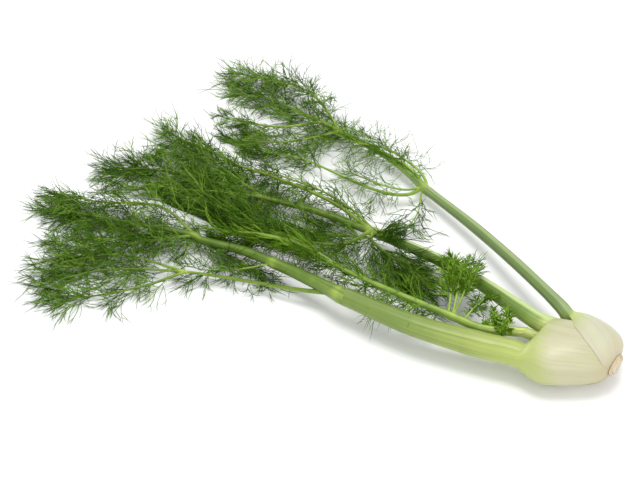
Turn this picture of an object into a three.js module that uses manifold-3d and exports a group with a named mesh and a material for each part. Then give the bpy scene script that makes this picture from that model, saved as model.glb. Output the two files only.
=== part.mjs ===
// A Florence fennel bulb with its leaves, lying on a table. Units are millimetres, +Z is up,
// and the origin is the middle of the flat spot that the bulb rests on.
// Four leaves clasp each other round the bulb's axis. The foot of each leaf is a sheath. It
// narrows into a ribbed stalk, and past the stalk's first joint it is a feathery frond.

import * as THREE from "three";
import Module from "manifold-3d";
import { mergeVertices } from "three/addons/utils/BufferGeometryUtils.js";

const wasm = await Module();
wasm.setup();

const { degToRad, lerp, smoothstep } = THREE.MathUtils;
const GOLDEN_ANGLE = degToRad(137.5);

// ---------------------------------------------------------------- driving dimensions
const AXIS_HEADING = degToRad(146); // the bulb's axis seen from above, from root to neck
const AXIS_HEIGHT = 25.2; // the bulb's axis above the table
const ROOT_U = -39; // where the sheaths meet the root plate, along the axis
const GAP = 0.35; // between neighbouring pieces
const SQUARENESS = 2.25; // of the bulb's oval section: 2 is a plain ellipse
const SHEATH_RIB = 0.4; // how far a sheath's ribs stand out
const STALK_RIB = 0.05; // how far a stalk's ribs stand out, as a share of its radius
const RIB_FADE = [-0.98, -0.6]; // the sine of the turn where the ribs fade out, so the bulb rests flat
const FACE_POINTS = 11; // across a leaf's outer face, and as many across its inner face
const STALK_FACE = degToRad(104); // half the turn that the outer face takes round a stalk
const STALK_SEAM = 0.9; // the inner face's share of the rest of the turn
const COLLAR = [0.5, 0.8]; // where across a leaf its collar begins, and where it is whole
const SHEATH_STEP = 11; // between the sections of a sheath
const STALK_STEP = 30; // between the sections of a stalk
const ROOT_PLATE_DEPTH = 3.5; // of the basal stem, past the sheaths
const ROOT_PLATE_SIDES = 28;
// The basal stem's outline, as shares of its reach and of its depth.
const ROOT_PLATE_OUTLINE = [
  [0, -1], [0.62, -1], [0.74, -0.86], [0.8, -0.84], [0.9, -0.5], [0.96, -0.46], [0.985, 0], [0, 0],
];
const TABLE_SIZE = [300, 300, 40]; // of the block that nothing of the bulb reaches into

// Four nested ovals along the bulb's axis. Each row is [u, back, front, depth]: the place on
// the axis, the reach to the back and to the front, and half the height.
const OVALS = [
  [[-39, 12.5, 12.5, 8.8], [-36.5, 23, 21, 14.8], [-31, 29.5, 27.5, 18.8], [-20, 35.5, 35, 23],
    [-6, 41, 41.5, 25.8], [8, 44, 46, 25.7], [20, 43, 46.5, 24.5], [36, 38, 43, 20]],
  [[-39, 10.4, 11, 7], [-36.5, 19.6, 19, 12.4], [-31, 24.6, 25.5, 16.2], [-20, 29.5, 33, 20.4],
    [-6, 34.5, 39.4, 23], [8, 36, 44, 23.2], [20, 32, 44.5, 22], [32, 27.5, 43, 19.5], [44, 25, 42, 16]],
  [[-39, 8.8, 6.8, 5.2], [-36.5, 17.4, 12.4, 9.8], [-31, 22.2, 18.5, 13.6], [-20, 27.5, 25, 18],
    [-6, 32.5, 30, 20.8], [8, 33.6, 31, 21.2], [20, 29.5, 27, 19.5], [32, 25.5, 19, 16.5], [44, 24, 12, 13]],
  [[-39, 4, 4.4, 3.4], [-36.5, 7.2, 7.6, 6], [-31, 10.5, 12.5, 9.2], [-20, 14.5, 18.5, 13],
    [-6, 17, 22.5, 16], [8, 13, 20.5, 14.5], [20, 6, 13.5, 10.5], [32, 3.6, 7.5, 7], [44, 3, 7, 6]],
];
// The ovals' middles lie back from the axis near the root, as the bulb is a little skewed.
const SKEW = [[-39, 9.5], [-31, 9.2], [-20, 7.8], [-6, 4.5], [8, 1], [20, 0], [44, 0]];

// Each leaf, from the outermost to the heart. side is where it is thick and its stalk leaves:
// 1 is the back, -1 the front. margins rows are [u, under, over]: how far its sheath wraps, in
// degrees from the thick side. opens is where along the axis the sheath turns into the stalk, and
// closes where its upper margin does, which stands as a collar round the inner leaves' stalks.
// Stalk radii are [u, across, high]. The heart leaf is solid, so its two faces meet.
const LEAVES = [
  {
    name: "back", side: 1, opens: [4, 28], colour: 0x5f7d43,
    margins: [[-39, 152, 142], [-24, 140, 110], [0, 122, 84], [14, 104, 68], [30, 78, 52]],
    route: [[22, 32, 28], [3, 39, 31], [-7, 51, 35], [-41, 108, 30], [-80, 172, 20], [-123, 230, 14]],
    radii: [[14, 7.2, 7], [50, 5.9, 5.7], [150, 5.5, 5.5], [222, 4.7, 4.7]],
  },
  {
    name: "front", side: -1, opens: [12, 42], closes: [29, 37], colour: 0xc2cf82,
    margins: [[-39, 150, 150], [-20, 140, 140], [0, 128, 132], [20, 110, 126], [32, 94, 122], [42, 84, 84]],
    route: [[-27, -23, 25], [-48, -5, 28], [-84, 8, 28], [-146, 31, 30], [-208, 67, 30]],
    radii: [[24, 12, 11.6], [57, 12.6, 12.2], [85, 12.4, 12], [112, 11.2, 10.8], [166, 9.8, 9.6],
      [212, 8.4, 8.4]],
  },
  {
    name: "middle", side: 1, opens: [2, 32], colour: 0x93ad52,
    margins: [[-39, 150, 150], [0, 136, 136], [20, 116, 116], [40, 88, 88]],
    route: [[6, 23, 28], [-22, 30, 31], [-45, 49, 32], [-81, 92, 25], [-126, 133, 19], [-177, 167, 16]],
    radii: [[20, 10.2, 9.8], [45, 8.9, 8.5], [86, 7.9, 7.6], [120, 6.8, 6.6], [170, 5.8, 5.6], [232, 5, 5]],
  },
  {
    name: "heart", side: 1, opens: [16, 40], colour: 0xb4c65a,
    margins: [[-39, 88, 88], [44, 88, 88]],
    route: [[-13, 6, 28], [-29, 16, 28], [-42, 24, 28]],
    radii: [[20, 5.6, 5.4], [42, 5, 4.9], [50, 4.7, 4.6]],
  },
];

// The fronds. Each stem's points run from its foot, on the stem that it forks from, to its tip.
// thick is its radius at both ends, reach the length of its sprays near the foot and at the tip,
// and bare how much of it has no sprays. A frond's first stem goes on from its leaf's stalk.
const FRONDS = [
  {
    name: "back_frond", leaf: "back", seed: 11, colour: 0x3f7a22, curtains: [["back_middle", 1]],
    stems: [
      { points: [[-123, 230, 14], [-155, 274, 14], [-211, 322, 13], [-251, 352, 12], [-290, 381, 9],
        [-312, 397, 5]], thick: [4.6, 0.8], reach: [34, 36], bare: 106 },
      { points: [[-211, 322, 13], [-234, 366, 19], [-256, 389, 18], [-286, 407, 14], [-314, 418, 8]],
        thick: [1.6, 0.6], reach: [16, 31], bare: 16 },
      { points: [[-230, 337, 13], [-279, 328, 14], [-331, 354, 5]],
        thick: [1.5, 0.6], reach: [42, 17], bare: 10 },
      { points: [[-211, 322, 13], [-263, 306, 13], [-325, 318, 4]],
        thick: [1.5, 0.6], reach: [42, 28], bare: 14 },
      { points: [[-126, 234, 15], [-127, 239, 16], [-136, 252, 20], [-148, 266, 20], [-164, 281, 19],
        [-180, 293, 17], [-202, 311, 15]], thick: [1.5, 0.6], reach: [26, 32], bare: 24 },
      { points: [[-124, 233, 15], [-123, 236, 16], [-129, 249, 21], [-145, 268, 22], [-167, 287, 22],
        [-193, 296, 20], [-217, 314, 17]], thick: [1.5, 0.6], reach: [28, 32], bare: 10 },
      { points: [[-129, 234, 13], [-140, 225, 14], [-156, 224, 14], [-178, 232, 14], [-212, 254, 13],
        [-250, 281, 11], [-296, 300, 5]], thick: [2, 0.6], reach: [28, 34], bare: 112 },
      { points: [[-130, 233, 15], [-145, 228, 17], [-164, 232, 18], [-180, 240, 18], [-202, 257, 15]],
        thick: [1.2, 0.6], reach: [30, 28], bare: 16 },
      { points: [[-128, 231, 13], [-131, 214, 14], [-133, 200, 14], [-139, 188, 12], [-146, 181, 9]],
        thick: [1, 0.5], reach: [30, 22], bare: 8 },
    ],
  },
  {
    name: "middle_frond", leaf: "middle", seed: 23, colour: 0x35701d,
    curtains: [["back_middle", -1], ["middle_front", 1]],
    stems: [
      { points: [[-177, 167, 16], [-237, 199, 15], [-290, 220, 14], [-357, 251, 12], [-412, 268, 9],
        [-436, 271, 5]], thick: [4.4, 0.8], reach: [42, 30], bare: 92 },
      { points: [[-182, 170, 18], [-219, 202, 24], [-286, 243, 24], [-317, 262, 20], [-352, 294, 14],
        [-384, 316, 9]], thick: [2.4, 0.8], reach: [36, 34], bare: 138 },
      { points: [[-290, 220, 14], [-345, 266, 21], [-384, 286, 14], [-404, 290, 6]],
        thick: [1.6, 0.6], reach: [34, 20], bare: 10 },
      { points: [[-182, 168, 17], [-208, 150, 18], [-254, 156, 17], [-300, 182, 15], [-340, 208, 10]],
        thick: [2, 0.6], reach: [30, 40], bare: 14 },
      { points: [[-290, 220, 14], [-330, 224, 18], [-372, 230, 15], [-400, 240, 9]],
        thick: [1.5, 0.6], reach: [40, 34], bare: 8 },
      { points: [[-179, 168, 18], [-169, 159, 26], [-157, 150, 31]],
        thick: [1.2, 0.6], reach: [15, 11], bare: 3 },
      { points: [[-180, 166, 16], [-181, 150, 22], [-170, 136, 22], [-156, 121, 21], [-143, 106, 18]],
        thick: [1.9, 0.6], reach: [36, 30], bare: 6 },
      { points: [[-181, 171, 19], [-196, 188, 24], [-222, 210, 27], [-262, 232, 28], [-300, 252, 25]],
        thick: [1.3, 0.6], reach: [32, 34], bare: 4 },
      { points: [[-182, 163, 13], [-215, 171, 9], [-255, 179, 8], [-300, 192, 7], [-345, 214, 6]],
        thick: [1.4, 0.6], reach: [34, 38], bare: 6 },
    ],
  },
  {
    name: "front_frond", leaf: "front", seed: 37, colour: 0x3d7a20,
    curtains: [["middle_front", -1], ["heart_front", -1]],
    stems: [
      { points: [[-208, 67, 30], [-259, 108, 23], [-310, 143, 19], [-356, 164, 16], [-431, 186, 14],
        [-470, 198, 12], [-492, 207, 8]], thick: [7.8, 0.8], reach: [38, 40], bare: 156 },
      { points: [[-356, 164, 16], [-390, 193, 26], [-458, 210, 18], [-502, 232, 10]],
        thick: [1.6, 0.6], reach: [36, 34], bare: 6 },
      { points: [[-356, 164, 16], [-427, 155, 12], [-480, 156, 6]],
        thick: [1.7, 0.6], reach: [40, 34], bare: 2 },
      { points: [[-214, 71, 30], [-251, 88, 17], [-300, 104, 12], [-364, 117, 12], [-440, 124, 8],
        [-486, 115, 4]], thick: [2.6, 0.6], reach: [32, 38], bare: 172 },
      { points: [[-364, 117, 12], [-397, 103, 9], [-434, 93, 7], [-474, 88, 4]],
        thick: [1.6, 0.6], reach: [24, 38], bare: 14 },
      { points: [[-276, 120, 22], [-296, 117, 19], [-322, 116, 15], [-352, 119, 13]],
        thick: [1.1, 0.5], reach: [24, 26], bare: 6 },
      { points: [[-364, 117, 12], [-428, 140, 13], [-478, 138, 6]],
        thick: [1.5, 0.6], reach: [42, 34], bare: 10 },
      { points: [[-352, 162, 15], [-335, 148, 12], [-310, 132, 10], [-285, 116, 9]],
        thick: [0.9, 0.5], reach: [30, 28], bare: 3 },
    ],
  },
  {
    name: "heart_frond", leaf: "heart", seed: 41, colour: 0x5f9a24,
    curtains: [["middle_front", -1], ["heart_front", 1]],
    stems: [
      { points: [[-42, 24, 28], [-60, 24.5, 29], [-84, 28, 30], [-110, 42, 31], [-160, 68, 34],
        [-217, 105, 34], [-253, 136, 34], [-291, 151, 29], [-340, 163, 18]],
        thick: [4.6, 1.2], reach: [30, 42], bare: 78 },
      { points: [[-56, 25, 30], [-57, 31, 35], [-58, 37, 40]],
        thick: [1.2, 0.6], reach: [7, 5.5], bare: 2 },
      { points: [[-62, 25, 30], [-66, 31, 35], [-70, 36, 39]],
        thick: [1.2, 0.6], reach: [7.5, 6], bare: 2 },
      { points: [[-64, 25, 31], [-70, 28, 34], [-76, 29, 34]], thick: [1.2, 0.6], reach: [8, 6], bare: 2 },
      { points: [[-56, 25, 31], [-59, 22, 35], [-63, 20, 35]], thick: [1.2, 0.6], reach: [8, 6], bare: 2 },
      { points: [[-108, 41, 31], [-104, 58, 40], [-100, 78, 46], [-97, 92, 46]],
        thick: [1.3, 0.6], reach: [18, 14], bare: 14 },
      { points: [[-108, 41, 31], [-98, 58, 41], [-92, 76, 46], [-86, 90, 46]],
        thick: [1.3, 0.6], reach: [16, 13], bare: 14 },
      { points: [[-112, 43, 31], [-109, 62, 41], [-107, 82, 47], [-106, 97, 47]],
        thick: [1.3, 0.6], reach: [18, 14], bare: 14 },
      { points: [[-98, 35, 31], [-88, 47, 36], [-76, 58, 38]],
        thick: [1.2, 0.6], reach: [13, 11], bare: 4 },
    ],
  },
];

// Upright curtains between the fronds, seen from above. A frond's threads are bent clear of them.
const CURTAINS = {
  back_middle: [[-118, 160], [-182, 190], [-217, 222], [-293, 274], [-340, 314], [-372, 352], [-410, 440]],
  middle_front: [[-144, 80], [-168, 92], [-196, 112], [-230, 132], [-262, 148], [-292, 164], [-326, 182],
    [-360, 205], [-400, 228], [-570, 242]],
  heart_front: [[-189, 60], [-217, 91], [-250, 117], [-280, 135], [-300, 146], [-330, 156], [-345, 163],
    [-350, 190]],
};
const CURTAIN_SOFTNESS = 14; // how far from a curtain the threads begin to bend
const CURTAIN_CLEARANCE = 1.2;
const TABLE_SOFTNESS = 5; // and how far from the table
const TABLE_CLEARANCE = 0.3; // of a thread's middle

const STEM_STEP = 30; // between the sections of a frond's stem
const STEM_SECTIONS = 3; // at least, however short the stem is
const STEM_TAPER = 0.8; // under 1, a stem thins more near its foot
const MAIN_STEM_SIDES = 7;
const SIDE_STEM_SIDES = 4;
const SPRAY_STEP = 33; // between the sprays along a stem
const SPRAY_LEAN = degToRad(36); // of a spray from its stem, and of a thread from its spray
const SPRAY_FLATNESS = 0.45; // a lying frond spreads less upwards than sideways
const SPRAY_SWEEP = 0.28; // how far a spray curls towards its stem's tip, as a share of its length
const SPRAY_KNOTS = [0, 0.34, 0.67, 1]; // where along a spray its needle bends
const SPRAY_TIP_GAP = 0.4; // from the last spray to the stem's tip, as a share of a step
const VARIATION = [0.8, 1.2]; // of a spray's or a thread's length or lean, as a share of it
const THREADS = 3; // on a spray
const THREAD_SPAN = [0.24, 0.85]; // where along a spray its first and last threads stand
const THREAD_TAPER = 0.4; // how much shorter a thread at the spray's tip would be
const THREAD_FLATNESS = 0.8;
const THREAD_TURN = degToRad(57); // from a spray's own roll to its first thread's
const ROOT_SHARE = 0.22; // how much of a needle's first stretch may lie against what bears it
const NEEDLE_ROOM = 1.35; // between the middles of two needles that pass each other
const ROOT_TOUCH = 0.05; // how near a root lies to what bears it
const ATTEMPTS = 5; // at turning a needle clear of its neighbours
const ATTEMPT_TURN = degToRad(62);
const THREAD_REACH = 0.46; // a thread's length as a share of its spray's
const SPRAY_RADII = [0.8, 0.75, 0.6]; // of a spray's needle along its length, before its point
const THREAD_RADIUS = 0.42;

// ---------------------------------------------------------------- small helpers
// A value between the rows of a table whose first column is the place.
function tableAt(rows, place, column) {
  if (place <= rows[0][0]) return rows[0][column];
  for (let row = 1; row < rows.length; row += 1) {
    const [before, after] = [rows[row - 1], rows[row]];
    if (place > after[0]) continue;
    return lerp(before[column], after[column], (place - before[0]) / (after[0] - before[0]));
  }
  return rows[rows.length - 1][column];
}

// Where on a curve, from 0 to 1, a measure that rises along it reaches a value.
function shareWhere(measure, value) {
  const halvings = 24;
  let [low, high] = [0, 1];
  for (let halving = 0; halving < halvings; halving += 1) {
    const middle = (low + high) / 2;
    if (measure(middle) < value) low = middle;
    else high = middle;
  }
  return low;
}

// A smooth value between the rows of a table: a spline through them.
function smoothAt(rows, place, column) {
  const spline = new THREE.CatmullRomCurve3(rows.map((row) => new THREE.Vector3(row[0], row[column], 0)));
  return spline.getPoint(shareWhere((share) => spline.getPoint(share).x, place)).y;
}

const AXIS = new THREE.Vector3(Math.cos(AXIS_HEADING), Math.sin(AXIS_HEADING), 0);
const BACK = new THREE.Vector3(Math.sin(AXIS_HEADING), -Math.cos(AXIS_HEADING), 0);
const UP = new THREE.Vector3(0, 0, 1);

// A point in the bulb's own frame: along its axis, to its back, and up from its axis.
function bulbPoint(along, back, up) {
  return new THREE.Vector3(0, 0, AXIS_HEIGHT + up).addScaledVector(AXIS, along).addScaledVector(BACK, back);
}

// A closed skin over rings with equal point counts. Each end is closed by a zigzag from the
// ring's first point to its last, which suits a crescent as well as a disc.
function loft(rings) {
  const count = rings[0].length;
  const index = [];
  for (let ring = 0; ring + 1 < rings.length; ring += 1) {
    for (let point = 0; point < count; point += 1) {
      const [a, b] = [ring * count + point, ring * count + ((point + 1) % count)];
      index.push(a, b, b + count, a, b + count, a + count);
    }
  }
  const last = (rings.length - 1) * count;
  for (let [left, right] = [0, count - 1]; right - left > 1; ) {
    index.push(left, right, left + 1, last + left, last + left + 1, last + right);
    left += 1;
    if (right - left > 1) {
      index.push(left, right, right - 1, last + left, last + right - 1, last + right);
      right -= 1;
    }
  }
  const corners = rings.flat().flatMap((corner) => corner.toArray());
  const geometry = new THREE.BufferGeometry();
  geometry.setAttribute("position", new THREE.Float32BufferAttribute(corners, 3));
  geometry.setIndex(index);
  return geometry;
}

function toSolid(geometry) {
  const bare = geometry.clone();
  bare.deleteAttribute("normal");
  bare.deleteAttribute("uv");
  const merged = mergeVertices(bare);
  return new wasm.Manifold(new wasm.Mesh({
    numProp: 3,
    vertProperties: Float32Array.from(merged.attributes.position.array),
    triVerts: Uint32Array.from(merged.index.array),
  }));
}

// A geometry whose faces each have three different corners, for a skin that closes in a point.
function withoutSlivers(geometry) {
  const merged = mergeVertices(geometry);
  const corners = Array.from(merged.index.array);
  const count = corners.length / 3;
  const faces = Array.from({ length: count }, (_, face) => corners.slice(3 * face, 3 * face + 3));
  merged.setIndex(faces.filter((face) => new Set(face).size === 3).flat());
  return merged;
}

// The largest connected piece of a solid, as a geometry: scraps and sealed hollows are dropped.
function toGeometry(solid) {
  const largest = solid.decompose().reduce((best, piece) => (piece.volume() > best.volume() ? piece : best));
  const { vertProperties, triVerts } = largest.getMesh();
  const geometry = new THREE.BufferGeometry();
  geometry.setAttribute("position", new THREE.BufferAttribute(vertProperties, 3));
  geometry.setIndex(new THREE.BufferAttribute(triVerts, 1));
  return geometry;
}

function makeMesh(name, solid, colour) {
  const material = new THREE.MeshStandardMaterial({ color: colour, roughness: 0.6, metalness: 0 });
  const mesh = new THREE.Mesh(toGeometry(solid), material);
  mesh.name = name;
  return mesh;
}

// ---------------------------------------------------------------- sheaths and stalks
// A point on one of the nested ovals, as [back, up] from the oval's middle. turn is 0 on the
// given side and 90 degrees on top.
function ovalPoint(oval, u, side, turn) {
  const [across, high] = [side * Math.cos(turn), Math.sin(turn)];
  const reach = smoothAt(OVALS[oval], u, across > 0 ? 1 : 2);
  const squared = (value) => Math.sign(value) * Math.abs(value) ** (2 / SQUARENESS);
  return [reach * squared(across), smoothAt(OVALS[oval], u, 3) * squared(high)];
}

// The section of a sheath: its outer face's points, then as many back along its inner face.
function sheathRing(leaf, layer, u) {
  const isHeart = layer === LEAVES.length - 1;
  const under = degToRad(smoothAt(leaf.margins, u, 1));
  const over = degToRad(smoothAt(leaf.margins, u, 2));
  const outer = [];
  for (let point = 0; point < FACE_POINTS; point += 1) {
    const turn = lerp(-under, over, point / (FACE_POINTS - 1));
    const fades = smoothstep(Math.sin(turn), ...RIB_FADE);
    outer.push({ turn, oval: layer, lift: (point % 2 ? 1 : -1) * SHEATH_RIB * fades });
  }
  const inner = outer.toReversed().map(({ turn, lift }) => (
    isHeart ? { turn: Math.PI - turn, oval: layer, lift } : { turn, oval: layer + 1, lift: GAP + SHEATH_RIB }
  ));
  return [...outer, ...inner].map(({ turn, oval, lift }) => {
    const [back, up] = ovalPoint(oval, u, leaf.side, turn);
    const scale = 1 + lift / Math.hypot(back, up);
    return bulbPoint(u, back * scale + smoothAt(SKEW, u, 1), up * scale);
  });
}

// The round, ribbed section of a leaf's stalk where its route passes u.
function stalkRing(leaf, curve, u) {
  const share = shareWhere((place) => curve.getPoint(place).dot(AXIS), u);
  const centre = curve.getPoint(share);
  const tangent = curve.getTangent(share);
  const outward = new THREE.Vector3(tangent.y, -tangent.x, 0).normalize();
  const over = new THREE.Vector3().crossVectors(outward, tangent);
  const across = leaf.side * tableAt(leaf.radii, u, 1);
  const upright = tableAt(leaf.radii, u, 2);
  const turns = [];
  for (let point = 0; point < FACE_POINTS; point += 1) {
    turns.push(lerp(-STALK_FACE, STALK_FACE, point / (FACE_POINTS - 1)));
  }
  const behind = (STALK_SEAM * (Math.PI - STALK_FACE)) / STALK_FACE;
  turns.push(...turns.toReversed().map((turn) => Math.PI - turn * behind));
  return turns.map((turn, point) => {
    const scale = 1 + (point % 2 ? STALK_RIB : -STALK_RIB);
    return centre.clone()
      .addScaledVector(outward, across * scale * Math.cos(turn))
      .addScaledVector(over, upright * scale * Math.sin(turn));
  });
}

// How far each point of a section has turned from sheath to stalk, in the order of sheathRing.
function openings(leaf, u) {
  const faced = Array.from({ length: FACE_POINTS }, (_, point) => {
    const late = leaf.closes ? smoothstep(point / (FACE_POINTS - 1), ...COLLAR) : 0;
    const latest = leaf.closes ?? leaf.opens;
    const [start, end] = leaf.opens.map((place, edge) => lerp(place, latest[edge], late));
    return smoothstep(u, start, end);
  });
  return [...faced, ...faced.toReversed()];
}

// A ring whose every edge is pushed outwards in the ring's own plane.
function grownRing(ring, grow) {
  const sharpest = 0.5; // holds back the corners of very sharp edges
  const normal = new THREE.Vector3();
  ring.forEach((point, place) => {
    normal.add(new THREE.Vector3().crossVectors(point, ring[(place + 1) % ring.length]));
  });
  normal.normalize();
  const outwards = ring.map((point, place) => (
    new THREE.Vector3().subVectors(ring[(place + 1) % ring.length], point).cross(normal).normalize()
  ));
  return ring.map((point, place) => {
    const [before, after] = [outwards[(place + ring.length - 1) % ring.length], outwards[place]];
    const corner = Math.max(1 + before.dot(after), sharpest);
    return point.clone().addScaledVector(before, grow / corner).addScaledVector(after, grow / corner);
  });
}

const routeCurve = (route) => new THREE.CatmullRomCurve3(route.map((point) => new THREE.Vector3(...point)));

// A leaf's sheath and stalk, or the space it needs when it is grown by the gap round it.
function leafSolid(leaf, layer, grow = 0) {
  const curve = routeCurve(leaf.route);
  const end = new THREE.Vector3(...leaf.route.at(-1)).dot(AXIS);
  const places = [];
  for (let u = ROOT_U; u < leaf.opens[1]; u += SHEATH_STEP) places.push(u);
  const stalkSteps = Math.ceil((end - leaf.opens[1]) / STALK_STEP);
  for (let step = 0; step <= stalkSteps; step += 1) places.push(lerp(leaf.opens[1], end, step / stalkSteps));
  const rings = places.map((u) => {
    const blends = openings(leaf, u);
    const stalk = stalkRing(leaf, curve, u);
    const ring = sheathRing(leaf, layer, u).map((point, place) => point.lerp(stalk[place], blends[place]));
    return grow ? grownRing(ring, grow) : ring;
  });
  if (leaf.side > 0) rings.forEach((ring) => ring.reverse());
  return toSolid(loft(rings));
}

// The basal stem: an oval, stepped stub that closes the bulb's root end.
function rootPlate() {
  const [back, , high] = OVALS[0][0].slice(1);
  const outline = ROOT_PLATE_OUTLINE.map(([reach, depth]) => new THREE.Vector2(reach, depth));
  const stub = new THREE.LatheGeometry(outline, ROOT_PLATE_SIDES);
  stub.scale(back, ROOT_PLATE_DEPTH, high);
  stub.applyMatrix4(new THREE.Matrix4().makeBasis(BACK, AXIS, UP.clone()));
  const foot = bulbPoint(ROOT_U - GAP, SKEW[0][1], 0);
  return toSolid(stub.translate(foot.x, foot.y, foot.z));
}

// ---------------------------------------------------------------- fronds
// A seeded stream of numbers from 0 to 1, by the Lehmer rule.
function seededStream(seed) {
  let state = seed;
  return () => {
    state = (state * 16807) % 2147483647;
    return state / 2147483647;
  };
}

// A length pressed softly so that it never falls below nothing.
function pressed(length, softness) {
  return length > softness ? length : softness * Math.exp(length / softness - 1);
}

// A point bent clear of the table and of the frond's curtains.
function bentClear(point, curtains) {
  const bent = point.clone();
  for (const [name, side] of curtains) {
    const posts = CURTAINS[name].map((post) => new THREE.Vector3(...post, 0));
    let nearest = null;
    for (let panel = 0; panel + 1 < posts.length; panel += 1) {
      const line = new THREE.Line3(posts[panel], posts[panel + 1]);
      const flat = new THREE.Vector3(bent.x, bent.y, 0);
      const foot = line.closestPointToPoint(flat, true, new THREE.Vector3());
      const distance = foot.distanceTo(flat);
      if (!nearest || distance < nearest.distance) nearest = { line, foot, flat, distance };
    }
    const along = nearest.line.delta(new THREE.Vector3()).normalize();
    const inward = new THREE.Vector3(along.y, -along.x, 0).multiplyScalar(side);
    const isPastAnEnd = nearest.foot.equals(posts[0]) || nearest.foot.equals(posts.at(-1));
    if (isPastAnEnd) continue;
    const depth = nearest.flat.sub(nearest.foot).dot(inward) - CURTAIN_CLEARANCE;
    bent.addScaledVector(inward, pressed(depth, CURTAIN_SOFTNESS) - depth);
  }
  bent.z = TABLE_CLEARANCE + pressed(bent.z - TABLE_CLEARANCE, TABLE_SOFTNESS);
  return bent;
}

// A tapered tube through points, with a flat foot and a sharp tip, flattened where it lies on
// the table.
function taperedTube(points, radii, sides) {
  const rings = points.slice(0, -1).map((point, place) => {
    const behind = points[Math.max(place - 1, 0)];
    const forward = new THREE.Vector3().subVectors(points[place + 1], behind).normalize();
    const across = new THREE.Vector3().crossVectors(UP, forward).normalize();
    const over = new THREE.Vector3().crossVectors(forward, across);
    return Array.from({ length: sides }, (_, side) => {
      const turn = (2 * Math.PI * side) / sides;
      const corner = point.clone()
        .addScaledVector(across, radii[place] * Math.cos(turn))
        .addScaledVector(over, radii[place] * Math.sin(turn));
      return corner.setZ(Math.max(corner.z, 0));
    });
  });
  rings.push(Array.from({ length: sides }, () => points.at(-1).clone()));
  return toSolid(withoutSlivers(loft(rings)));
}

// A direction leaning from the one given, turned round it by roll.
function leaning(forward, lean, roll, flatness) {
  const across = new THREE.Vector3().crossVectors(UP, forward).normalize();
  const over = new THREE.Vector3().crossVectors(forward, across);
  const sideways = across.multiplyScalar(Math.cos(roll)).addScaledVector(over, Math.sin(roll) * flatness);
  return forward.clone()
    .multiplyScalar(Math.cos(lean))
    .addScaledVector(sideways.normalize(), Math.sin(lean));
}

// The stretches of a path, without the start that is sunk into what bears it.
function stretches(path) {
  const lines = path.slice(1).map((point, place) => new THREE.Line3(path[place], point));
  lines[0] = new THREE.Line3(lines[0].at(ROOT_SHARE, new THREE.Vector3()), lines[0].end);
  return lines;
}

// Whether a needle's root lies on a stretch of what bears it.
function bears(line, root) {
  return line.closestPointToPoint(root, true, new THREE.Vector3()).distanceTo(root) < ROOT_TOUCH;
}

// Whether a needle's stretches keep clear of every other.
function isClear(lines, others) {
  return lines.every((line) => others.every((other) => line.distanceSqToLine3(other) > NEEDLE_ROOM ** 2));
}

// A frond's stems, sprays and threads, fused into one solid. A needle that would run through
// another is turned round its root, and is left out if that doesn't clear it.
function frondSolid(frond) {
  const draw = seededStream(frond.seed);
  const placed = [];
  const solids = [];

  function growNeedle(pathAt, roll, radii) {
    for (let attempt = 0; attempt < ATTEMPTS; attempt += 1) {
      const path = pathAt(roll + attempt * ATTEMPT_TURN);
      const lines = stretches(path);
      if (isClear(lines, placed.filter((other) => !bears(other, path[0])))) {
        placed.push(...lines);
        solids.push(taperedTube(path, radii, 3));
        return path;
      }
    }
    return null;
  }

  // A curled needle that bears straight threads all round it.
  function growSpray(foot, forward, length, roll) {
    const lean = SPRAY_LEAN * lerp(...VARIATION, draw());
    const spine = growNeedle((turn) => {
      const start = leaning(forward, lean, turn, SPRAY_FLATNESS);
      return SPRAY_KNOTS.map((share) => {
        const point = foot.clone()
          .addScaledVector(start, length * share)
          .addScaledVector(forward, SPRAY_SWEEP * length * share * share);
        return share ? bentClear(point, frond.curtains) : foot;
      });
    }, roll, SPRAY_RADII);
    if (!spine) return;
    for (let thread = 0; thread < THREADS; thread += 1) {
      const share = lerp(...THREAD_SPAN, thread / (THREADS - 1));
      const place = share * (spine.length - 1);
      const [from, to] = [spine[Math.floor(place)], spine[Math.floor(place) + 1]];
      const root = from.clone().lerp(to, place % 1);
      const tangent = new THREE.Vector3().subVectors(to, from).normalize();
      const reach = length * THREAD_REACH * (1 - THREAD_TAPER * share) * lerp(...VARIATION, draw());
      growNeedle((turn) => {
        const side = leaning(tangent, SPRAY_LEAN, turn, THREAD_FLATNESS);
        return [root, bentClear(root.clone().addScaledVector(side, reach), frond.curtains)];
      }, roll + thread * GOLDEN_ANGLE + THREAD_TURN, [THREAD_RADIUS]);
    }
  }

  const stems = frond.stems.map((stem, order) => {
    const curve = routeCurve(stem.points);
    const length = curve.getLength();
    const steps = Math.max(STEM_SECTIONS, Math.round(length / STEM_STEP));
    const points = Array.from({ length: steps + 1 }, (_, step) => (
      bentClear(curve.getPointAt(step / steps), frond.curtains)
    ));
    if (order === 0) points[0] = curve.getPoint(0).addScaledVector(curve.getTangent(0), GAP);
    const radii = points.map((_, step) => lerp(...stem.thick, (step / steps) ** STEM_TAPER));
    solids.push(taperedTube(points, radii, order === 0 ? MAIN_STEM_SIDES : SIDE_STEM_SIDES));
    placed.push(...stretches(points));
    return { ...stem, curve, length, points, steps };
  });
  stems.forEach(({ curve, length, points, steps, bare, reach }) => {
    const sprays = Math.max(1, Math.round((length - bare) / SPRAY_STEP));
    for (let spray = 0; spray <= sprays; spray += 1) {
      const share = (bare + (length - bare) * (spray / (sprays + SPRAY_TIP_GAP))) / length;
      const place = Math.min(share * steps, steps - 0.001);
      const foot = points[Math.floor(place)].clone().lerp(points[Math.floor(place) + 1], place % 1);
      const size = lerp(...reach, spray / sprays) * lerp(...VARIATION, draw());
      growSpray(foot, curve.getTangentAt(share), size, spray * GOLDEN_ANGLE);
    }
  });
  return solids.reduce((all, solid) => all.add(solid));
}

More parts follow.
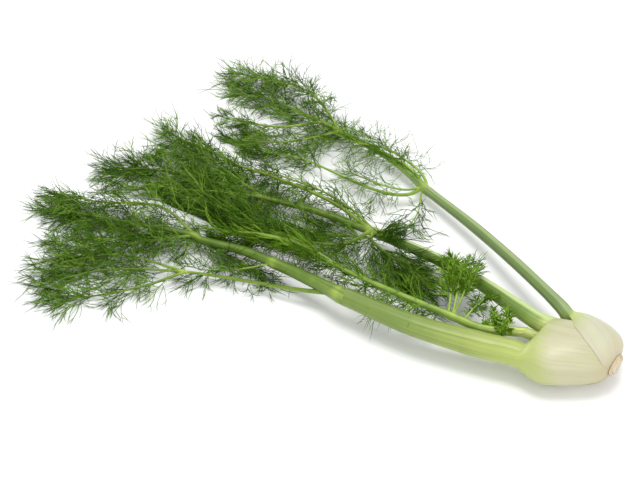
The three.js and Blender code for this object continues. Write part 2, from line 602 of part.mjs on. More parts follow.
// ---------------------------------------------------------------- the whole plant
const group = new THREE.Group();
const table = new THREE.BoxGeometry(...TABLE_SIZE).translate(0, 0, -TABLE_SIZE[2] / 2);
const plain = LEAVES.map((leaf, layer) => leafSolid(leaf, layer));
const roomy = LEAVES.map((leaf, layer) => leafSolid(leaf, layer, GAP));
LEAVES.forEach((leaf, layer) => {
  const inner = roomy.slice(layer + 1).reduce((all, solid) => all.add(solid), toSolid(table));
  group.add(makeMesh(`${leaf.name}_stalk`, plain[layer].subtract(inner), leaf.colour));
});
group.add(makeMesh("root_plate", rootPlate(), 0xcbb690));
FRONDS.forEach((frond) => {
  const stalks = roomy.reduce((all, solid) => all.add(solid));
  group.add(makeMesh(frond.name, frondSolid(frond).subtract(stalks), frond.colour));
});

export default group;
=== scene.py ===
"""A Florence fennel bulb with its leaves, lying on a pale studio floor.

Four leaves clasp each other round the bulb. Each one's sheath and stalk is one piece with fine
ribs and thin margins, and past the stalk's first joint come the stems of its frond and their
forked threads. Sizes are millimetres, and a piece's mesh is scaled to metres when it is made.
"""

import logging
import math
from dataclasses import dataclass, field
from enum import Enum
from itertools import product

import bpy
import numpy as np
from mathutils import Matrix, Vector


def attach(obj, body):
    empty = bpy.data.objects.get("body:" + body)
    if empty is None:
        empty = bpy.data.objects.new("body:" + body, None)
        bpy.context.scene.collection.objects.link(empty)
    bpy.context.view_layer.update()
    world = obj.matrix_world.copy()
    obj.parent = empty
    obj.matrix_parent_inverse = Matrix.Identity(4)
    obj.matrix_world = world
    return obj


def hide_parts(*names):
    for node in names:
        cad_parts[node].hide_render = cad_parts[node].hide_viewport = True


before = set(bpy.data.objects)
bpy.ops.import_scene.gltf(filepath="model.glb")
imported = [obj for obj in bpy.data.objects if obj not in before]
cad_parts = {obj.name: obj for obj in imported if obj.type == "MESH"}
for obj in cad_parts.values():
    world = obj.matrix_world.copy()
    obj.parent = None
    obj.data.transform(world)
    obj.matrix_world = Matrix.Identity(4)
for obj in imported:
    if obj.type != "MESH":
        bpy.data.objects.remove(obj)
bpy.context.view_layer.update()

LOG = logging.getLogger("fennel")

Array = np.ndarray
Pair = tuple[float, float]
Place = tuple[float, float, float]
Rows = tuple[tuple[float, ...], ...]
Colour = tuple[float, float, float]
Stops = tuple[tuple[float, Colour], ...]
Socket = bpy.types.NodeSocket

MM = 0.001
BODY = "root"
UP = np.array([0.0, 0.0, 1.0])
WHITE: Colour = (1.0, 1.0, 1.0)
GOLDEN_ANGLE = math.radians(137.5)
ANY_PHASE = 6.3  # about a full turn, in radians
NOISE_MIDDLE = (0.3, 0.7)  # where most of a noise's values lie
STREAK_SETS = 5  # of streaks along a stalk, each fading into the next
TABLE_FINENESS, PATH_FINENESS, ROUTE_FINENESS = 48, 160, 240  # points read for each row of a curve

AXIS_HEADING = math.radians(146)
AXIS = np.array([math.cos(AXIS_HEADING), math.sin(AXIS_HEADING), 0.0])
BACK = np.array([math.sin(AXIS_HEADING), -math.cos(AXIS_HEADING), 0.0])
AXIS_HEIGHT = 25.2
ROOT_U = -39.0
SQUARENESS = 2.25

# The nested ovals of the bulb: [along the axis, reach to the back, to the front, half height].
OVALS: tuple[Rows, ...] = (
    ((-39, 12.5, 12.5, 8.8), (-36.5, 23, 21, 14.8), (-31, 29.5, 27.5, 18.8), (-20, 35.5, 35, 23),
     (-6, 41, 41.5, 25.8), (8, 44, 46, 25.7), (20, 43, 46.5, 24.5), (36, 38, 43, 20)),
    ((-39, 10.4, 11, 7), (-36.5, 19.6, 19, 12.4), (-31, 24.6, 25.5, 16.2), (-20, 29.5, 33, 20.4),
     (-6, 34.5, 39.4, 23), (8, 36, 44, 23.2), (20, 32, 44.5, 22), (32, 27.5, 43, 19.5), (44, 25, 42, 16)),
    ((-39, 8.8, 6.8, 5.2), (-36.5, 17.4, 12.4, 9.8), (-31, 22.2, 18.5, 13.6), (-20, 27.5, 25, 18),
     (-6, 32.5, 30, 20.8), (8, 33.6, 31, 21.2), (20, 29.5, 27, 19.5), (32, 25.5, 19, 16.5), (44, 24, 12, 13)),
    ((-39, 4, 4.4, 3.4), (-36.5, 7.2, 7.6, 6), (-31, 10.5, 12.5, 9.2), (-20, 14.5, 18.5, 13),
     (-6, 17, 22.5, 16), (8, 13, 20.5, 14.5), (20, 6, 13.5, 10.5), (32, 3.6, 7.5, 7), (44, 3, 7, 6)),
)
# How far to the back the ovals' middles lie.
SKEW: Rows = ((-39, 9.5), (-31, 9.2), (-20, 7.8), (-6, 4.5), (8, 1), (20, 0), (44, 0))

# Upright curtains between the fronds, seen from above. Threads are bent clear of them.
CURTAINS: dict[str, Rows] = {
    "back_middle": ((-118, 160), (-182, 190), (-217, 222), (-293, 274), (-340, 314), (-372, 352),
                    (-410, 440)),
    "middle_front": ((-144, 80), (-168, 92), (-196, 112), (-230, 132), (-262, 148), (-292, 164), (-326, 182),
                     (-360, 205), (-400, 228), (-570, 242)),
    "heart_front": ((-189, 60), (-217, 91), (-250, 117), (-280, 135), (-300, 146), (-330, 156), (-345, 163),
                    (-350, 190)),
}
CURTAIN_SOFTNESS = 14.0
CURTAIN_CLEARANCE = 1.2
TABLE_SOFTNESS = 5.0
TABLE_CLEARANCE = 0.34
LOWEST = 0.02  # for a thread's own side
CEILING = 64.0  # that the lying fronds' threads stay under
CEILING_SOFTNESS = 18.0


class Side(Enum):
    """The side of the bulb on which a leaf is thick and its stalk leaves."""

    BACK = 1
    FRONT = -1


# ------------------------------------------------------------------ curves and tables
def smoothstep(value: Array, low: Array | float, high: Array | float) -> Array:
    """Value's soft rise from 0 at low to 1 at high."""
    share = np.clip((value - low) / (high - low), 0, 1)
    return share * share * (3 - 2 * share)


def unit(vectors: Array) -> Array:
    """Vectors at length one."""
    return vectors / np.maximum(np.linalg.norm(vectors, axis=-1, keepdims=True), 1e-9)


def spline(points: Array, places: Array) -> Array:
    """Points on a centripetal Catmull-Rom curve.

    Args:
        points: What the curve passes through, one row each.
        places: Where on the curve, from 0 at its first point to 1 at its last.

    Returns:
        One row for each place.
    """
    padded = np.vstack([2 * points[0] - points[1], points, 2 * points[-1] - points[-2]])
    spans = len(points) - 1
    span = np.minimum((places * spans).astype(int), spans - 1)
    share = (places * spans - span)[:, None]
    before, start, end, after = (padded[span + offset] for offset in range(4))

    def knot(a: Array, b: Array) -> Array:
        """The square root of the distance between two rows of points."""
        return np.maximum(((a - b) ** 2).sum(axis=1, keepdims=True) ** 0.25, 1e-4)

    lead, own, trail = knot(before, start), knot(start, end), knot(end, after)
    enter = ((start - before) / lead - (end - before) / (lead + own) + (end - start) / own) * own
    leave = ((end - start) / own - (after - start) / (own + trail) + (after - end) / trail) * own
    return (start + share * enter + share**2 * (3 * (end - start) - 2 * enter - leave)
            + share**3 * (2 * (start - end) + enter + leave))


def smooth_table(rows: Rows, column: int, places: Array) -> Array:
    """A table's column, read smoothly between its rows.

    Args:
        rows: The table, with its places in the first column.
        column: Which column is read.
        places: Where it is read.

    Returns:
        One number for each place.
    """
    pairs = np.array([(row[0], row[column], 0.0) for row in rows], dtype=float)
    fine = spline(pairs, np.linspace(0, 1, TABLE_FINENESS * len(rows)))
    return np.interp(places, fine[:, 0], fine[:, 1])


def straight_table(rows: Rows, column: int, places: Array) -> Array:
    """A table's column, read in straight lines between its rows at the given places."""
    return np.interp(places, [row[0] for row in rows], [row[column] for row in rows])


@dataclass(frozen=True)
class Path:
    """A smooth curve through points, read by the distance along it."""

    points: Rows

    def sampled(self) -> tuple[Array, Array]:
        """The curve, read finely.

        Returns:
            Its fine points, and how far along it each one is.
        """
        places = np.linspace(0, 1, PATH_FINENESS * len(self.points))
        fine = spline(np.array(self.points, dtype=float), places)
        steps = np.linalg.norm(np.diff(fine, axis=0), axis=1)
        return fine, np.concatenate([[0.0], np.cumsum(steps)])

    def length(self) -> float:
        """The curve's whole length."""
        return float(self.sampled()[1][-1])

    def at(self, distances: Array) -> tuple[Array, Array]:
        """The curve's points and directions at distances along it.

        Args:
            distances: How far along the curve, one a point.

        Returns:
            The points, and a unit direction for each.
        """
        fine, along = self.sampled()
        ways = unit(np.gradient(fine, axis=0))
        read = [np.stack([np.interp(distances, along, part[:, k]) for k in range(3)], axis=-1)
                for part in (fine, ways)]
        return read[0], unit(read[1])


def pressed(length: Array, softness: float) -> Array:
    """Lengths pressed softly so that they never fall below nothing."""
    near = softness * np.exp(np.minimum(length, softness) / softness - 1)
    return np.where(length > softness, length, near)


def bent_clear(points: Array, curtains: tuple[tuple[str, int], ...]) -> Array:
    """Points bent clear of the table, of the ceiling and of a frond's curtains.

    Args:
        points: Any shape that ends in x, y, z.
        curtains: Each curtain's name and the side of it to stay on.

    Returns:
        The bent points, in the same shape.
    """
    bent = points.reshape(-1, 3).copy()
    for name, side in curtains:
        posts = np.array(CURTAINS[name], dtype=float)
        starts, panels = posts[:-1], np.diff(posts, axis=0)
        flat = bent[:, None, :2]
        share = ((flat - starts) * panels).sum(axis=2) / (panels**2).sum(axis=1)
        held = np.clip(share, 0, 1)
        feet = starts + held[:, :, None] * panels
        nearest = np.linalg.norm(flat - feet, axis=2).argmin(axis=1)
        row = np.arange(len(bent))
        along = unit(panels[nearest])
        inward = np.stack([along[:, 1], -along[:, 0]], axis=1) * side
        depth = ((bent[:, :2] - feet[row, nearest]) * inward).sum(axis=1) - CURTAIN_CLEARANCE
        before = (nearest == 0) & (share[row, nearest] <= 0)
        beyond = (nearest == len(panels) - 1) & (share[row, nearest] >= 1)
        push = np.where(before | beyond, 0, pressed(depth, CURTAIN_SOFTNESS) - depth)
        bent[:, :2] += inward * push[:, None]
    bent[:, 2] = CEILING - pressed(CEILING - bent[:, 2], CEILING_SOFTNESS)
    bent[:, 2] = TABLE_CLEARANCE + pressed(bent[:, 2] - TABLE_CLEARANCE, TABLE_SOFTNESS)
    return bent.reshape(points.shape)


def side_ways(forward: Array) -> tuple[Array, Array]:
    """The level direction across each forward direction, and the one over both."""
    across = unit(np.cross(UP, forward) + np.array([1e-6, 0, 0]))
    return across, np.cross(forward, across)


def leaning(forward: Array, lean: Array, roll: Array, flatness: float) -> Array:
    """Directions that lean from forward.

    Args:
        forward: The directions leant from.
        lean: How far each leans, in radians.
        roll: To which side each leans, round forward, in radians.
        flatness: How much less they lean upwards than sideways.

    Returns:
        One direction a row.
    """
    across, over = side_ways(forward)
    sideways = unit(across * np.cos(roll)[:, None] + over * (np.sin(roll) * flatness)[:, None])
    return forward * np.cos(lean)[:, None] + sideways * np.sin(lean)[:, None]


def streaks(draw: np.random.Generator, rows: int, columns: int, width: float) -> Array:
    """Lengthwise streaks for the skin of a stalk.

    Args:
        draw: Where random numbers come from.
        rows: How many sections there are along the stalk.
        columns: How many points there are round each section.
        width: How many points wide a streak is.

    Returns:
        How light each point is, from 0 to 1, rows by columns.
    """
    knots = max(4, round(columns / width))
    place = np.arange(columns) * knots / columns
    sets = [np.interp(place, np.arange(knots + 1), np.append(lights, lights[0]))
            for lights in draw.uniform(0, 1, (STREAK_SETS, knots))]
    share = np.linspace(0, STREAK_SETS - 1, rows)[:, None]
    return np.maximum(0, 1 - np.abs(share - np.arange(STREAK_SETS))) @ np.array(sets)


# ------------------------------------------------------------------ making pieces
def deselect_all() -> None:
    """Leaves nothing selected or being edited, so that an operator acts on new things alone."""
    if bpy.context.object and bpy.context.object.mode != "OBJECT":
        bpy.ops.object.mode_set(mode="OBJECT")
    bpy.ops.object.select_all(action="DESELECT")


def dress(piece: bpy.types.Object, name: str, finish: bpy.types.Material, slot: str,
          *nodes: str) -> bpy.types.Object:
    """Names a finished piece, gives it its material, and ties it to the frame.

    Args:
        piece: The object.
        name: Its name.
        finish: Its material.
        slot: The record's material slot. Not used.
        *nodes: The CAD nodes that it stands for.

    Returns:
        The same object.
    """
    piece.name = piece.data.name = name
    piece.data.materials.clear()
    piece.data.materials.append(finish)
    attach(piece, BODY)
    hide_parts(*nodes)
    return piece


def points_of(mesh: bpy.types.Mesh) -> Array:
    """Reads where a mesh's points are.

    Args:
        mesh: The mesh.

    Returns:
        One row a point, in metres.
    """
    spots = np.empty(len(mesh.vertices) * 3, dtype=np.float32)
    mesh.vertices.foreach_get("co", spots)
    return spots.reshape(-1, 3)


def move_points(mesh: bpy.types.Mesh, spots: Array) -> None:
    """Moves a mesh's points to places given in millimetres."""
    mesh.vertices.foreach_set("co", (spots * MM).astype(np.float32).ravel())


def face_outwards(crease: float) -> None:
    """Turns all faces of the active object outwards, and shades it smooth.

    Args:
        crease: The angle at which an edge stays sharp, in radians.
    """
    bpy.ops.object.mode_set(mode="EDIT")
    bpy.ops.mesh.select_all(action="SELECT")
    bpy.ops.mesh.normals_make_consistent(inside=False)
    bpy.ops.object.mode_set(mode="OBJECT")
    bpy.ops.object.shade_smooth_by_angle(angle=crease)


def mark(mesh: bpy.types.Mesh, name: str, values: Array) -> None:
    """Writes a number for each of a mesh's points, for its material to read."""
    attribute = mesh.attributes.new(name, "FLOAT", "POINT")
    attribute.data.foreach_set("value", np.asarray(values, dtype=np.float32).ravel())


@dataclass
class Strands:
    """Tapered tubes, a frond's threads or its stems, gathered into one mesh."""

    corners: list[Array] = field(default_factory=list)
    faces: list[Array] = field(default_factory=list)
    marks: dict[str, list[Array]] = field(default_factory=lambda: {"tone": [], "reach": []})
    count: int = 0

    def add(self, points: Array, radii: Array, tone: Array, reach: Array, sides: int = 3,
            ridges: Array | float = 1.0) -> None:
        """Sweeps tubes that end in a point.

        Args:
            points: Rows of path points, tubes by points by 3.
            radii: The radius at each path point, tubes by points.
            tone: Each tube's own shade, from 0 to 1.
            reach: How near to the frond's outside each path point is, from 0 to 1.
            sides: How many sides each tube has.
            ridges: How far out each side stands, as a share of the radius.
        """
        tubes, knots = points.shape[:2]
        forward = unit(np.gradient(points, axis=1))
        across, over = side_ways(forward)
        turns = 2 * np.pi * np.arange(sides) / sides
        ring = across[:, :, None] * np.cos(turns)[:, None] + over[:, :, None] * np.sin(turns)[:, None]
        ring = points[:, :, None] + ring * radii[:, :, None, None] * np.reshape(ridges, (-1, 1))
        body = ring[:, :-1].reshape(tubes, -1, 3)
        corners = np.concatenate([body, points[:, -1:]], axis=1)
        corners[..., 2] = np.maximum(corners[..., 2], LOWEST)
        each = corners.shape[1]
        ringed = np.arange((knots - 2) * sides).reshape(knots - 2, sides)
        turned = np.roll(ringed, -1, axis=1)
        walls = [ringed, turned, turned + sides, ringed, turned + sides, ringed + sides]
        walls = np.stack(walls, axis=-1).reshape(-1, 3)
        last = (knots - 2) * sides + np.arange(sides)
        tips = np.stack([last, np.roll(last, -1), np.full(sides, each - 1)], axis=1)
        foot = np.array([[0, side + 1, side] for side in range(1, sides - 1)])
        faces = np.concatenate([foot, walls, tips])
        starts = self.count + each * np.arange(tubes)
        self.corners.append(corners.reshape(-1, 3))
        self.faces.append((faces[None] + starts[:, None, None]).reshape(-1, 3))
        self.marks["tone"].append(np.repeat(tone, each))
        spread = np.concatenate([np.repeat(reach[:, :-1], sides, axis=1), reach[:, -1:]], axis=1)
        self.marks["reach"].append(spread.ravel())
        self.count += tubes * each

    def build(self) -> bpy.types.Object:
        """Makes one mesh of the gathered threads.

        Returns:
            A new object, in metres.
        """
        corners, faces = np.concatenate(self.corners), np.concatenate(self.faces)
        mesh = bpy.data.meshes.new("strands")
        mesh.vertices.add(len(corners))
        move_points(mesh, corners)
        mesh.loops.add(faces.size)
        mesh.loops.foreach_set("vertex_index", faces.astype(np.int32).ravel())
        mesh.polygons.add(len(faces))
        mesh.polygons.foreach_set("loop_start", np.arange(0, faces.size, 3, dtype=np.int32))
        mesh.update(calc_edges=True)
        mesh.polygons.foreach_set("use_smooth", np.ones(len(faces), dtype=bool))
        for name, parts in self.marks.items():
            mark(mesh, name, np.concatenate(parts))
        piece = bpy.data.objects.new("strands", mesh)
        bpy.context.scene.collection.objects.link(piece)
        return piece


# ------------------------------------------------------------------ finishes
class Bench:
    """A material being put together from nodes."""

    def __init__(self, name: str, **sockets: float | Colour) -> None:
        """Starts a material.

        Args:
            name: The material's name.
            **sockets: The shader's even values, with spaces in their names as underscores.
        """
        self.material = bpy.data.materials.new(name)
        self.material.use_nodes = True
        self.tree = self.material.node_tree
        self.shader = self.tree.nodes["Principled BSDF"]
        for socket, value in sockets.items():
            self.shader.inputs[socket.replace("_", " ")].default_value = value

    def add(self, kind: str, settings: dict[str, object] | None = None, **inputs: object) -> bpy.types.Node:
        """Adds a node.

        Args:
            kind: The node's type, without its ShaderNode prefix.
            settings: The node's own properties.
            **inputs: Values or output sockets for its inputs, by name with spaces as underscores, or
                by number after an i.

        Returns:
            The node.
        """
        node = self.tree.nodes.new("ShaderNode" + kind)
        for key, value in (settings or {}).items():
            setattr(node, key, value)
        for key, value in inputs.items():
            numbered = key[0] == "i" and key[1:].isdigit()
            self.feed(node.inputs[int(key[1:]) if numbered else key.replace("_", " ")], value)
        return node

    def feed(self, socket: Socket, value: object) -> None:
        """Links an output to a socket, or sets its value.

        Args:
            socket: The input that is fed.
            value: An output socket, or a plain value.
        """
        if isinstance(value, Socket):
            self.tree.links.new(value, socket)
        else:
            socket.default_value = value

    def place(self) -> Socket:
        """Each point's place on the plant, in metres."""
        return self.add("TexCoord").outputs["Object"]

    def number(self, name: str) -> Socket:
        """A number written on the piece's points."""
        return self.add("Attribute", {"attribute_name": name}).outputs["Fac"]

    def skin(self, across: float, along: float) -> Socket:
        """The piece's own skin coordinates, stretched across and along the leaf."""
        uv = self.add("UVMap", {"uv_map": "skin"}).outputs["UV"]
        return self.add("Mapping", Vector=uv, Scale=(across, along, 1.0)).outputs["Vector"]

    def ramp(self, value: Socket, stops: Stops) -> Socket:
        """A colour read from stops by a number.

        Args:
            value: The number, from 0 to 1.
            stops: Places from 0 to 1, each with its colour.

        Returns:
            The colour's output.
        """
        node = self.add("ValToRGB", i0=value)
        elements = node.color_ramp.elements
        while len(elements) < len(stops):
            elements.new(1.0)
        for element, (place, colour) in zip(elements, stops):
            element.position = place
            element.color = rgba(colour)
        return node.outputs["Color"]

    def math(self, operation: str, first: object, second: object = 0.0, clamp: bool = False) -> Socket:
        """The result of a sum on two numbers."""
        settings = {"operation": operation, "use_clamp": clamp}
        return self.add("Math", settings, i0=first, i1=second).outputs[0]

    def mix(self, share: object, first: object, second: object, blend: str = "MIX") -> Socket:
        """Two colours mixed."""
        settings = {"data_type": "RGBA", "blend_type": blend}
        return self.add("Mix", settings, i0=share, i6=first, i7=second).outputs[2]

    def tint(self, share: object, colour: Socket, value: Socket, stops: Stops) -> Socket:
        """A colour multiplied, by a share, with the one that a number reads from stops."""
        return self.mix(share, colour, self.ramp(value, stops), "MULTIPLY")

    def noise(self, place: Socket, scale: float, detail: float = 2.0) -> Socket:
        """Soft noise at a place."""
        return self.add("TexNoise", Vector=place, Scale=scale, Detail=detail).outputs["Fac"]

    def spread(self, value: Socket, low: float, high: float) -> Socket:
        """A noise's middle part stretched to run from low to high."""
        node = self.add("MapRange", Value=value, i1=NOISE_MIDDLE[0], i2=NOISE_MIDDLE[1], i3=low, i4=high)
        return node.outputs["Result"]

    def relief(self, height: Socket, strength: float, depth: float) -> None:
        """Gives the surface a fine relief, whose depth is in metres."""
        bump = self.add("Bump", Strength=strength, Distance=depth, Height=height)
        self.feed(self.shader.inputs["Normal"], bump.outputs["Normal"])

    def finished(self, colour: Socket, roughness: Socket | None = None) -> bpy.types.Material:
        """The material, once its shader has its colour and, where that varies, its roughness.

        Args:
            colour: The surface's colour.
            roughness: How rough it is, where that varies.

        Returns:
            The material.
        """
        self.feed(self.shader.inputs["Base Color"], colour)
        if roughness is not None:
            self.feed(self.shader.inputs["Roughness"], roughness)
        return self.material


def rgba(colour: Colour) -> tuple[float, float, float, float]:
    """A colour with full cover."""
    return (*colour, 1.0)


@dataclass(frozen=True)
class LeafFinish:
    """The smooth, finely veined skin of a sheath and its stalk, cream at the foot and green above."""

    name: str
    deep: Colour
    mid: Colour
    young: Colour = (0.47, 0.55, 0.16)
    pale: Colour = (0.46, 0.51, 0.22)
    cream: Colour = (0.53, 0.515, 0.38)
    # the stalk's upper stripe: partly the groove's paler skin, partly painted highlight from the light above
    groove_and_highlight: Colour = (0.48, 0.60, 0.26)
    vein_shades: Stops = ((0.32, (0.86, 0.88, 0.82)), (0.5, WHITE), (0.72, (1.06, 1.05, 1.03)))
    streak_shades: Stops = ((0.1, (0.62, 0.68, 0.5)), (0.5, WHITE), (0.9, (1.35, 1.28, 1.3)))
    blush_shades: Stops = ((0.0, WHITE), (1.0, (0.98, 0.84, 0.74)))

    def make(self) -> bpy.types.Material:
        """Puts the finish together.

        Returns:
            Its material.
        """
        bench = Bench(self.name, Subsurface_Weight=0.25, Subsurface_Radius=(0.6, 0.8, 0.3),
                      Subsurface_Scale=0.004, Specular_IOR_Level=0.45, Coat_Weight=0.12, Coat_Roughness=0.35)
        place = bench.place()
        veins = bench.noise(bench.skin(across=1.0, along=0.012), scale=900.0, detail=3.0)
        broad = bench.noise(bench.skin(across=1.0, along=0.06), scale=160.0)
        clouds = bench.noise(place, scale=55.0, detail=3.0)
        green = bench.math("ADD", bench.number("green"), bench.spread(broad, low=-0.045, high=0.045))
        green = bench.math("ADD", green, bench.spread(clouds, low=-0.03, high=0.03), clamp=True)
        colour = bench.ramp(green, ((0.0, self.cream), (0.2, self.pale), (0.45, self.young),
                                    (0.72, self.mid), (1.0, self.deep)))
        # lightens the stalk's upper stripe: partly the groove's paler skin, partly painted highlight
        colour = bench.mix(bench.number("groove_and_highlight"), colour, rgba(self.groove_and_highlight))
        colour = bench.tint(0.7, colour, veins, self.vein_shades)
        streaking = bench.math("ADD", bench.math("MULTIPLY", green, 0.85), 0.1)
        colour = bench.tint(streaking, colour, bench.number("streak"), self.streak_shades)
        colour = bench.tint(1.0, colour, bench.number("blush"), self.blush_shades)
        pores = bench.math("MULTIPLY", bench.noise(place, scale=900.0), 0.35)
        bench.relief(bench.math("ADD", veins, pores), strength=0.35, depth=0.00025)
        return bench.finished(colour, bench.spread(clouds, low=0.34, high=0.5))


@dataclass(frozen=True)
class StemFinish:
    """The streaked skin of a frond's stems, paler at their joints and like the stalk at its foot."""

    name: str
    foot: Colour
    green: Colour = (0.17, 0.30, 0.035)
    joint: Colour = (0.34, 0.46, 0.09)
    streak_shades: Stops = ((0.1, (0.6, 0.66, 0.5)), (0.5, WHITE), (0.9, (1.4, 1.3, 1.3)))
    cloud_shades: Stops = ((0.3, (0.80, 0.84, 0.74)), (0.7, (1.16, 1.12, 1.1)))
    tone_shades: Stops = ((0.0, (0.72, 0.78, 0.6)), (0.5, WHITE), (1.0, (1.5, 1.35, 1.3)))

    def make(self) -> bpy.types.Material:
        """Puts the finish together.

        Returns:
            Its material.
        """
        bench = Bench(self.name, Specular_IOR_Level=0.4, Subsurface_Weight=0.1,
                      Subsurface_Radius=(0.5, 0.8, 0.2), Subsurface_Scale=0.002)
        place = bench.place()
        clouds = bench.noise(place, scale=90.0, detail=3.0)
        colour = bench.mix(bench.number("foot"), rgba(self.green), rgba(self.foot))
        colour = bench.mix(bench.number("reach"), colour, rgba(self.joint))
        colour = bench.tint(0.9, colour, bench.number("streak"), self.streak_shades)
        colour = bench.tint(1.0, colour, clouds, self.cloud_shades)
        colour = bench.tint(1.0, colour, bench.number("tone"), self.tone_shades)
        bench.relief(bench.noise(place, scale=1400.0), strength=0.2, depth=0.0002)
        return bench.finished(colour, bench.spread(clouds, low=0.38, high=0.55))


@dataclass(frozen=True)
class ThreadFinish:
    """The matt green of a frond's threads, each with its own tone, lighter towards the outside as painted
    light.
    """

    name: str
    dark: Colour = (0.018, 0.058, 0.002)
    green: Colour = (0.076, 0.182, 0.009)
    light: Colour = (0.27, 0.45, 0.07)
    # the lighter green that the threads' outer ends mix towards, as painted light
    tip: Colour = (0.11, 0.21, 0.03)
    outside_light_share: float = 0.35

    def make(self) -> bpy.types.Material:
        """Puts the finish together.

        Returns:
            Its material.
        """
        bench = Bench(self.name, Specular_IOR_Level=0.03)
        place = bench.place()
        clouds = bench.noise(place, scale=22.0)
        tone = bench.math("ADD", bench.number("tone"), bench.spread(clouds, low=-0.16, high=0.16), clamp=True)
        colour = bench.ramp(tone, ((0.0, self.dark), (0.45, self.green), (1.0, self.light)))
        # painted light and shade: outer ends mix towards a lighter green, threads near the stems inside the
        # mass stay darker
        ends = bench.math("MULTIPLY", bench.number("reach"), self.outside_light_share)
        colour = bench.mix(ends, colour, rgba(self.tip))
        return bench.finished(colour, bench.spread(bench.noise(place, scale=260.0), low=0.45, high=0.62))


@dataclass(frozen=True)
class ScarFinish:
    """The dry cut where the roots were trimmed off, pale in the middle and brown at the rim."""

    name: str = "root_scar"
    flesh: Colour = (0.70, 0.63, 0.47)
    bark: Colour = (0.52, 0.41, 0.27)
    speck_shades: Stops = ((0.35, (0.72, 0.66, 0.58)), (0.55, WHITE))

    def make(self) -> bpy.types.Material:
        """Puts the finish together.

        Returns:
            Its material.
        """
        bench = Bench(self.name, Specular_IOR_Level=0.3, Subsurface_Weight=0.08, Subsurface_Scale=0.002)
        place = bench.place()
        coarse = bench.noise(place, scale=260.0, detail=4.0)
        wobble = bench.spread(coarse, low=-0.18, high=0.18)
        rings = bench.math("ADD", bench.number("ring"), wobble, clamp=True)
        colour = bench.ramp(rings, ((0.0, self.flesh), (0.55, self.flesh), (1.0, self.bark)))
        fine = bench.noise(place, scale=1500.0, detail=3.0)
        colour = bench.tint(0.7, colour, fine, self.speck_shades)
        height = bench.math("ADD", coarse, bench.math("MULTIPLY", fine, 0.5))
        bench.relief(height, strength=0.7, depth=0.0005)
        return bench.finished(colour, bench.spread(coarse, low=0.65, high=0.9))


@dataclass(frozen=True)
class FloorFinish:
    """Plain matt white."""

    name: str = "studio_white"
    white: float = 0.92
    unevenness: float = 0.01

    def make(self) -> bpy.types.Material:
        """Puts the finish together.

        Returns:
            Its material.
        """
        bench = Bench(self.name, Roughness=0.9, Specular_IOR_Level=0.1)
        clouds = bench.noise(bench.place(), scale=3.0)
        shades = ((0.0, (self.white - self.unevenness,) * 3), (1.0, (self.white,) * 3))
        return bench.finished(bench.ramp(clouds, shades))


